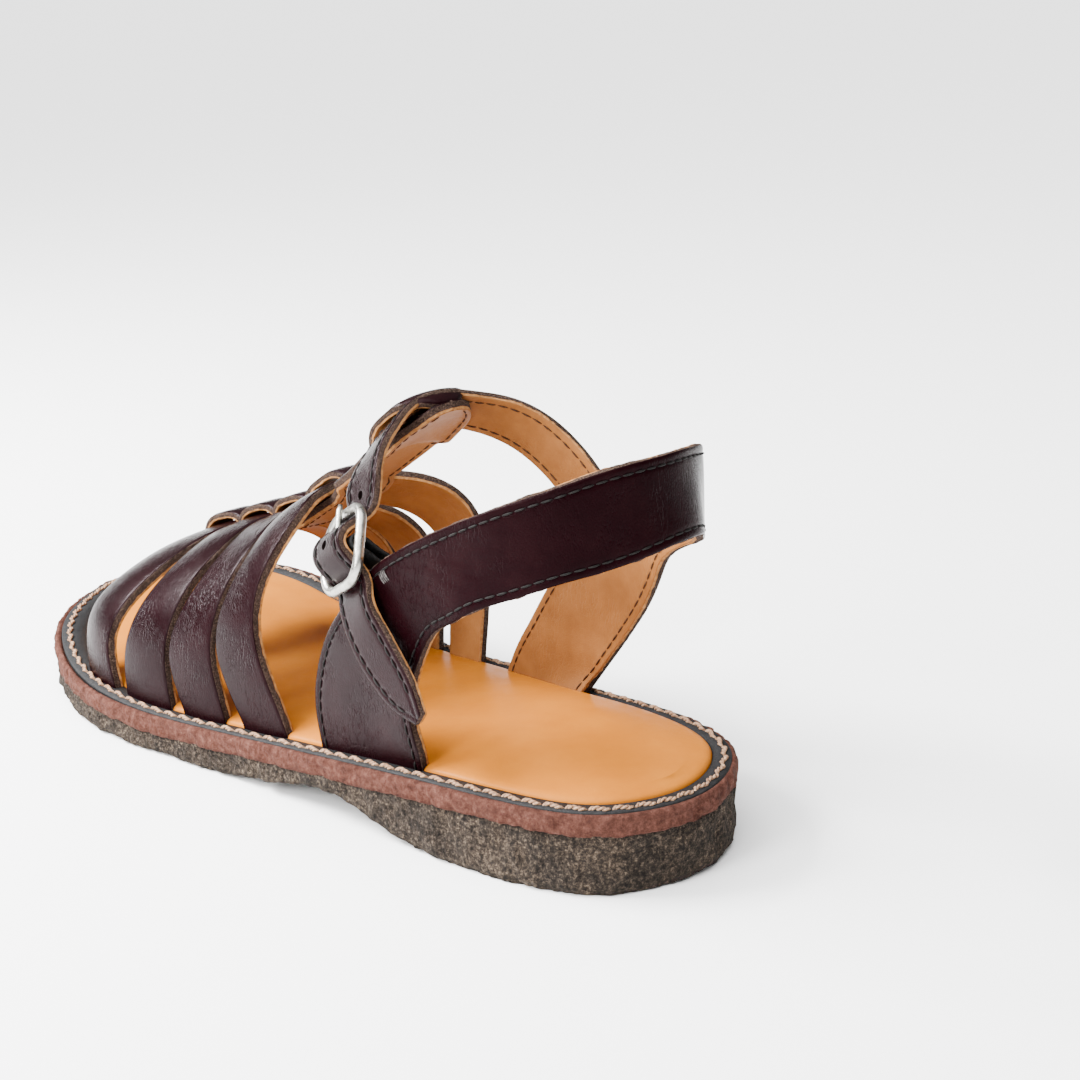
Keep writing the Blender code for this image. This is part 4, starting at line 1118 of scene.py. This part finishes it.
def buildCentreStrip():
    front = stripLook["front"] * length
    rear = stripLook["rear"] * length
    y = np.linspace(rear, front, 321)
    share = (y - rear) / (front - rear)
    # the rear end widens to a leaf, and both ends are rounded
    swell, at, spread = stripLook["leaf"]
    width = 1.0 + swell * np.exp(-((share - at) / spread) ** 2)
    power = stripLook["tipPower"]
    tip = np.clip(1 - (1 - np.clip(share / stripLook["tip"], 0, 1)) ** power, 0, 1) ** (1 / power)
    nose = np.sqrt(np.clip(1 - (1 - np.clip((1 - share) / stripLook["nose"], 0, 1)) ** 2, 0, 1))
    half = stripLook["width"] / 2 * width * np.maximum(tip, 0.06) * np.maximum(nose, 0.25)
    place = 2.0 * acrossPlace(2.0 * half, 9) - 1.0
    offset = half[:, None] * place
    yy = np.repeat(y[:, None], place.shape[1], axis=1)
    base = crestGrid(yy, offset)
    n = upNormals(base)
    windows = strapWindows()
    # between the straps the strip rises to their level, under them it sinks beneath
    over = np.zeros(len(y))
    for low, high in windows:
        over = np.maximum(over, np.clip((np.minimum(y - low, high - y) + 0.0050) / 0.0050, 0.0, 1.0))
    over = over * over * (3 - 2 * over)
    free = y < windows[3][0] - 0.004
    rise = np.where(y < windows[4][0], 0.0006, np.where(free, 0.0022, 0.0010))
    level = rise * (1 - over) - 0.0002 * over
    outer = base + n * level[:, None, None]
    strapBody("centreStrip", outer, n, stripLook["thick"], 110, threadLook["edge"])
    addStitches("centreStitches", edgeStitches(outer, n, 0.03, 0.44), strapThread)
    inside = outer - n * (stripLook["thick"] + threadLook["under"])
    addStitches("centreLiningStitches", edgeStitches(inside, -n, 0.03, 0.97), liningThread)

    # bridges: one arched loop over every strap, its ends tucked into the strip
    for number, (low, high) in enumerate(windows, 1):
        yb = np.linspace(low - stripLook["reach"], high + stripLook["reach"], 60)
        s = np.linspace(-1.0, 1.0, 60)
        arch = 1 - np.abs(s) ** stripLook["arch"]
        placeB = np.linspace(-1.0, 1.0, 9)
        halfB = np.full(60, stripLook["bridge"] / 2)
        if number == 5:
            halfB = stripLook["leafBridge"] * np.interp(yb, y, half)
        offsetB = halfB[:, None] * placeB[None, :]
        baseB = crestGrid(np.repeat(yb[:, None], 9, axis=1), offsetB)
        top = sizes["leather"] + 0.0006 + stripLook["outer"] + 0.0010 * (number < 5) - 0.0004
        height = 0.0004 + top * arch
        grid = baseB + upNormals(baseB) * height[:, None, None]
        strapBody("bridge%d" % number, grid, upNormals(grid), stripLook["outer"], 130 + number)


buildCentreStrip()
print("sandal: centre strip and bridges built")


def buildFloor():
    mesh = bpy.data.meshes.new("studioFloor")
    size = 25.0
    corners = [(-size, -size, 0), (size, -size, 0), (size, size, 0), (-size, size, 0)]
    mesh.from_pydata(corners, [], [(0, 1, 2, 3)])
    mat, _, shader, _ = baseMaterial("paleFloor")
    setSockets(shader, Base_Color=(0.93, 0.93, 0.93), Roughness=0.9, Specular_IOR_Level=0.1)
    mesh.materials.append(mat)
    floor = bpy.data.objects.new("studioFloor", mesh)
    bpy.context.scene.collection.objects.link(floor)


def aim(thing, place, target):
    thing.location = place
    thing.rotation_euler = (Vector(target) - Vector(place)).to_track_quat("-Z", "Y").to_euler()


def addLight(name, kind, place, target, watts, **values):
    lamp = bpy.data.lights.new(name, kind)
    lamp.energy = watts
    for key, value in values.items():
        setattr(lamp, key, value)
    thing = bpy.data.objects.new(name, lamp)
    bpy.context.scene.collection.objects.link(thing)
    aim(thing, place, target)


def buildLights():
    # a wide sun keeps the floor even; softboxes give the leather its highlights
    world = bpy.data.worlds.new("studioWorld")
    bpy.context.scene.world = world
    world.use_nodes = True
    world.node_tree.nodes["Background"].inputs["Color"].default_value = (1.0, 1.0, 1.0, 1.0)
    world.node_tree.nodes["Background"].inputs["Strength"].default_value = 0.36
    middle = (0.0, 0.0, 0.04)
    addLight("wideSun", "SUN", (-0.5, 0.1, 1.4), middle, 8.8, angle=math.radians(75))
    for name, place, watts, wide, high in (("topSoftbox", (-0.35, 0.45, 0.55), 34.0, 0.45, 0.25),
                                           ("leftSoftbox", (-0.75, -0.05, 0.40), 10.0, 0.25, 0.35)):
        addLight(name, "AREA", place, middle, watts, shape="RECTANGLE", size=wide, size_y=high)


cameraLook = {"azimuth": -45.164, "elevation": 17.643, "roll": -1.043, "distance": 0.5665, "focal": 2038.07,
              "right": 0.055064, "up": 0.024536, "middle": (0.0, 0.131, 0.030)}


def buildCamera():
    # back, right and up come from azimuth and elevation, then the pair is rolled
    a = math.radians(cameraLook["azimuth"])
    e = math.radians(cameraLook["elevation"])
    back = np.array([math.sin(a) * math.cos(e), -math.cos(a) * math.cos(e), math.sin(e)])
    right = unit(np.cross(-back, [0.0, 0.0, 1.0]))
    up = np.cross(right, -back)
    target = np.array(cameraLook["middle"]) + right * cameraLook["right"] + up * cameraLook["up"]
    place = toFrame(target + back * cameraLook["distance"])
    r = math.radians(cameraLook["roll"])
    rolledRight = math.cos(r) * right + math.sin(r) * up
    rolledUp = -math.sin(r) * right + math.cos(r) * up
    lens = bpy.data.cameras.new("photoCamera")
    lens.sensor_width = 36.0
    lens.lens = cameraLook["focal"] / 1080.0 * 36.0
    lens.clip_start = 0.01
    camera = bpy.data.objects.new("photoCamera", lens)
    bpy.context.scene.collection.objects.link(camera)
    rows = [[rolledRight[i], rolledUp[i], back[i], place[i]] for i in range(3)]
    camera.matrix_world = Matrix(rows + [[0, 0, 0, 1]])
    bpy.context.scene.camera = camera


buildFloor()
buildLights()
buildCamera()
print("sandal: floor, lights and camera set")
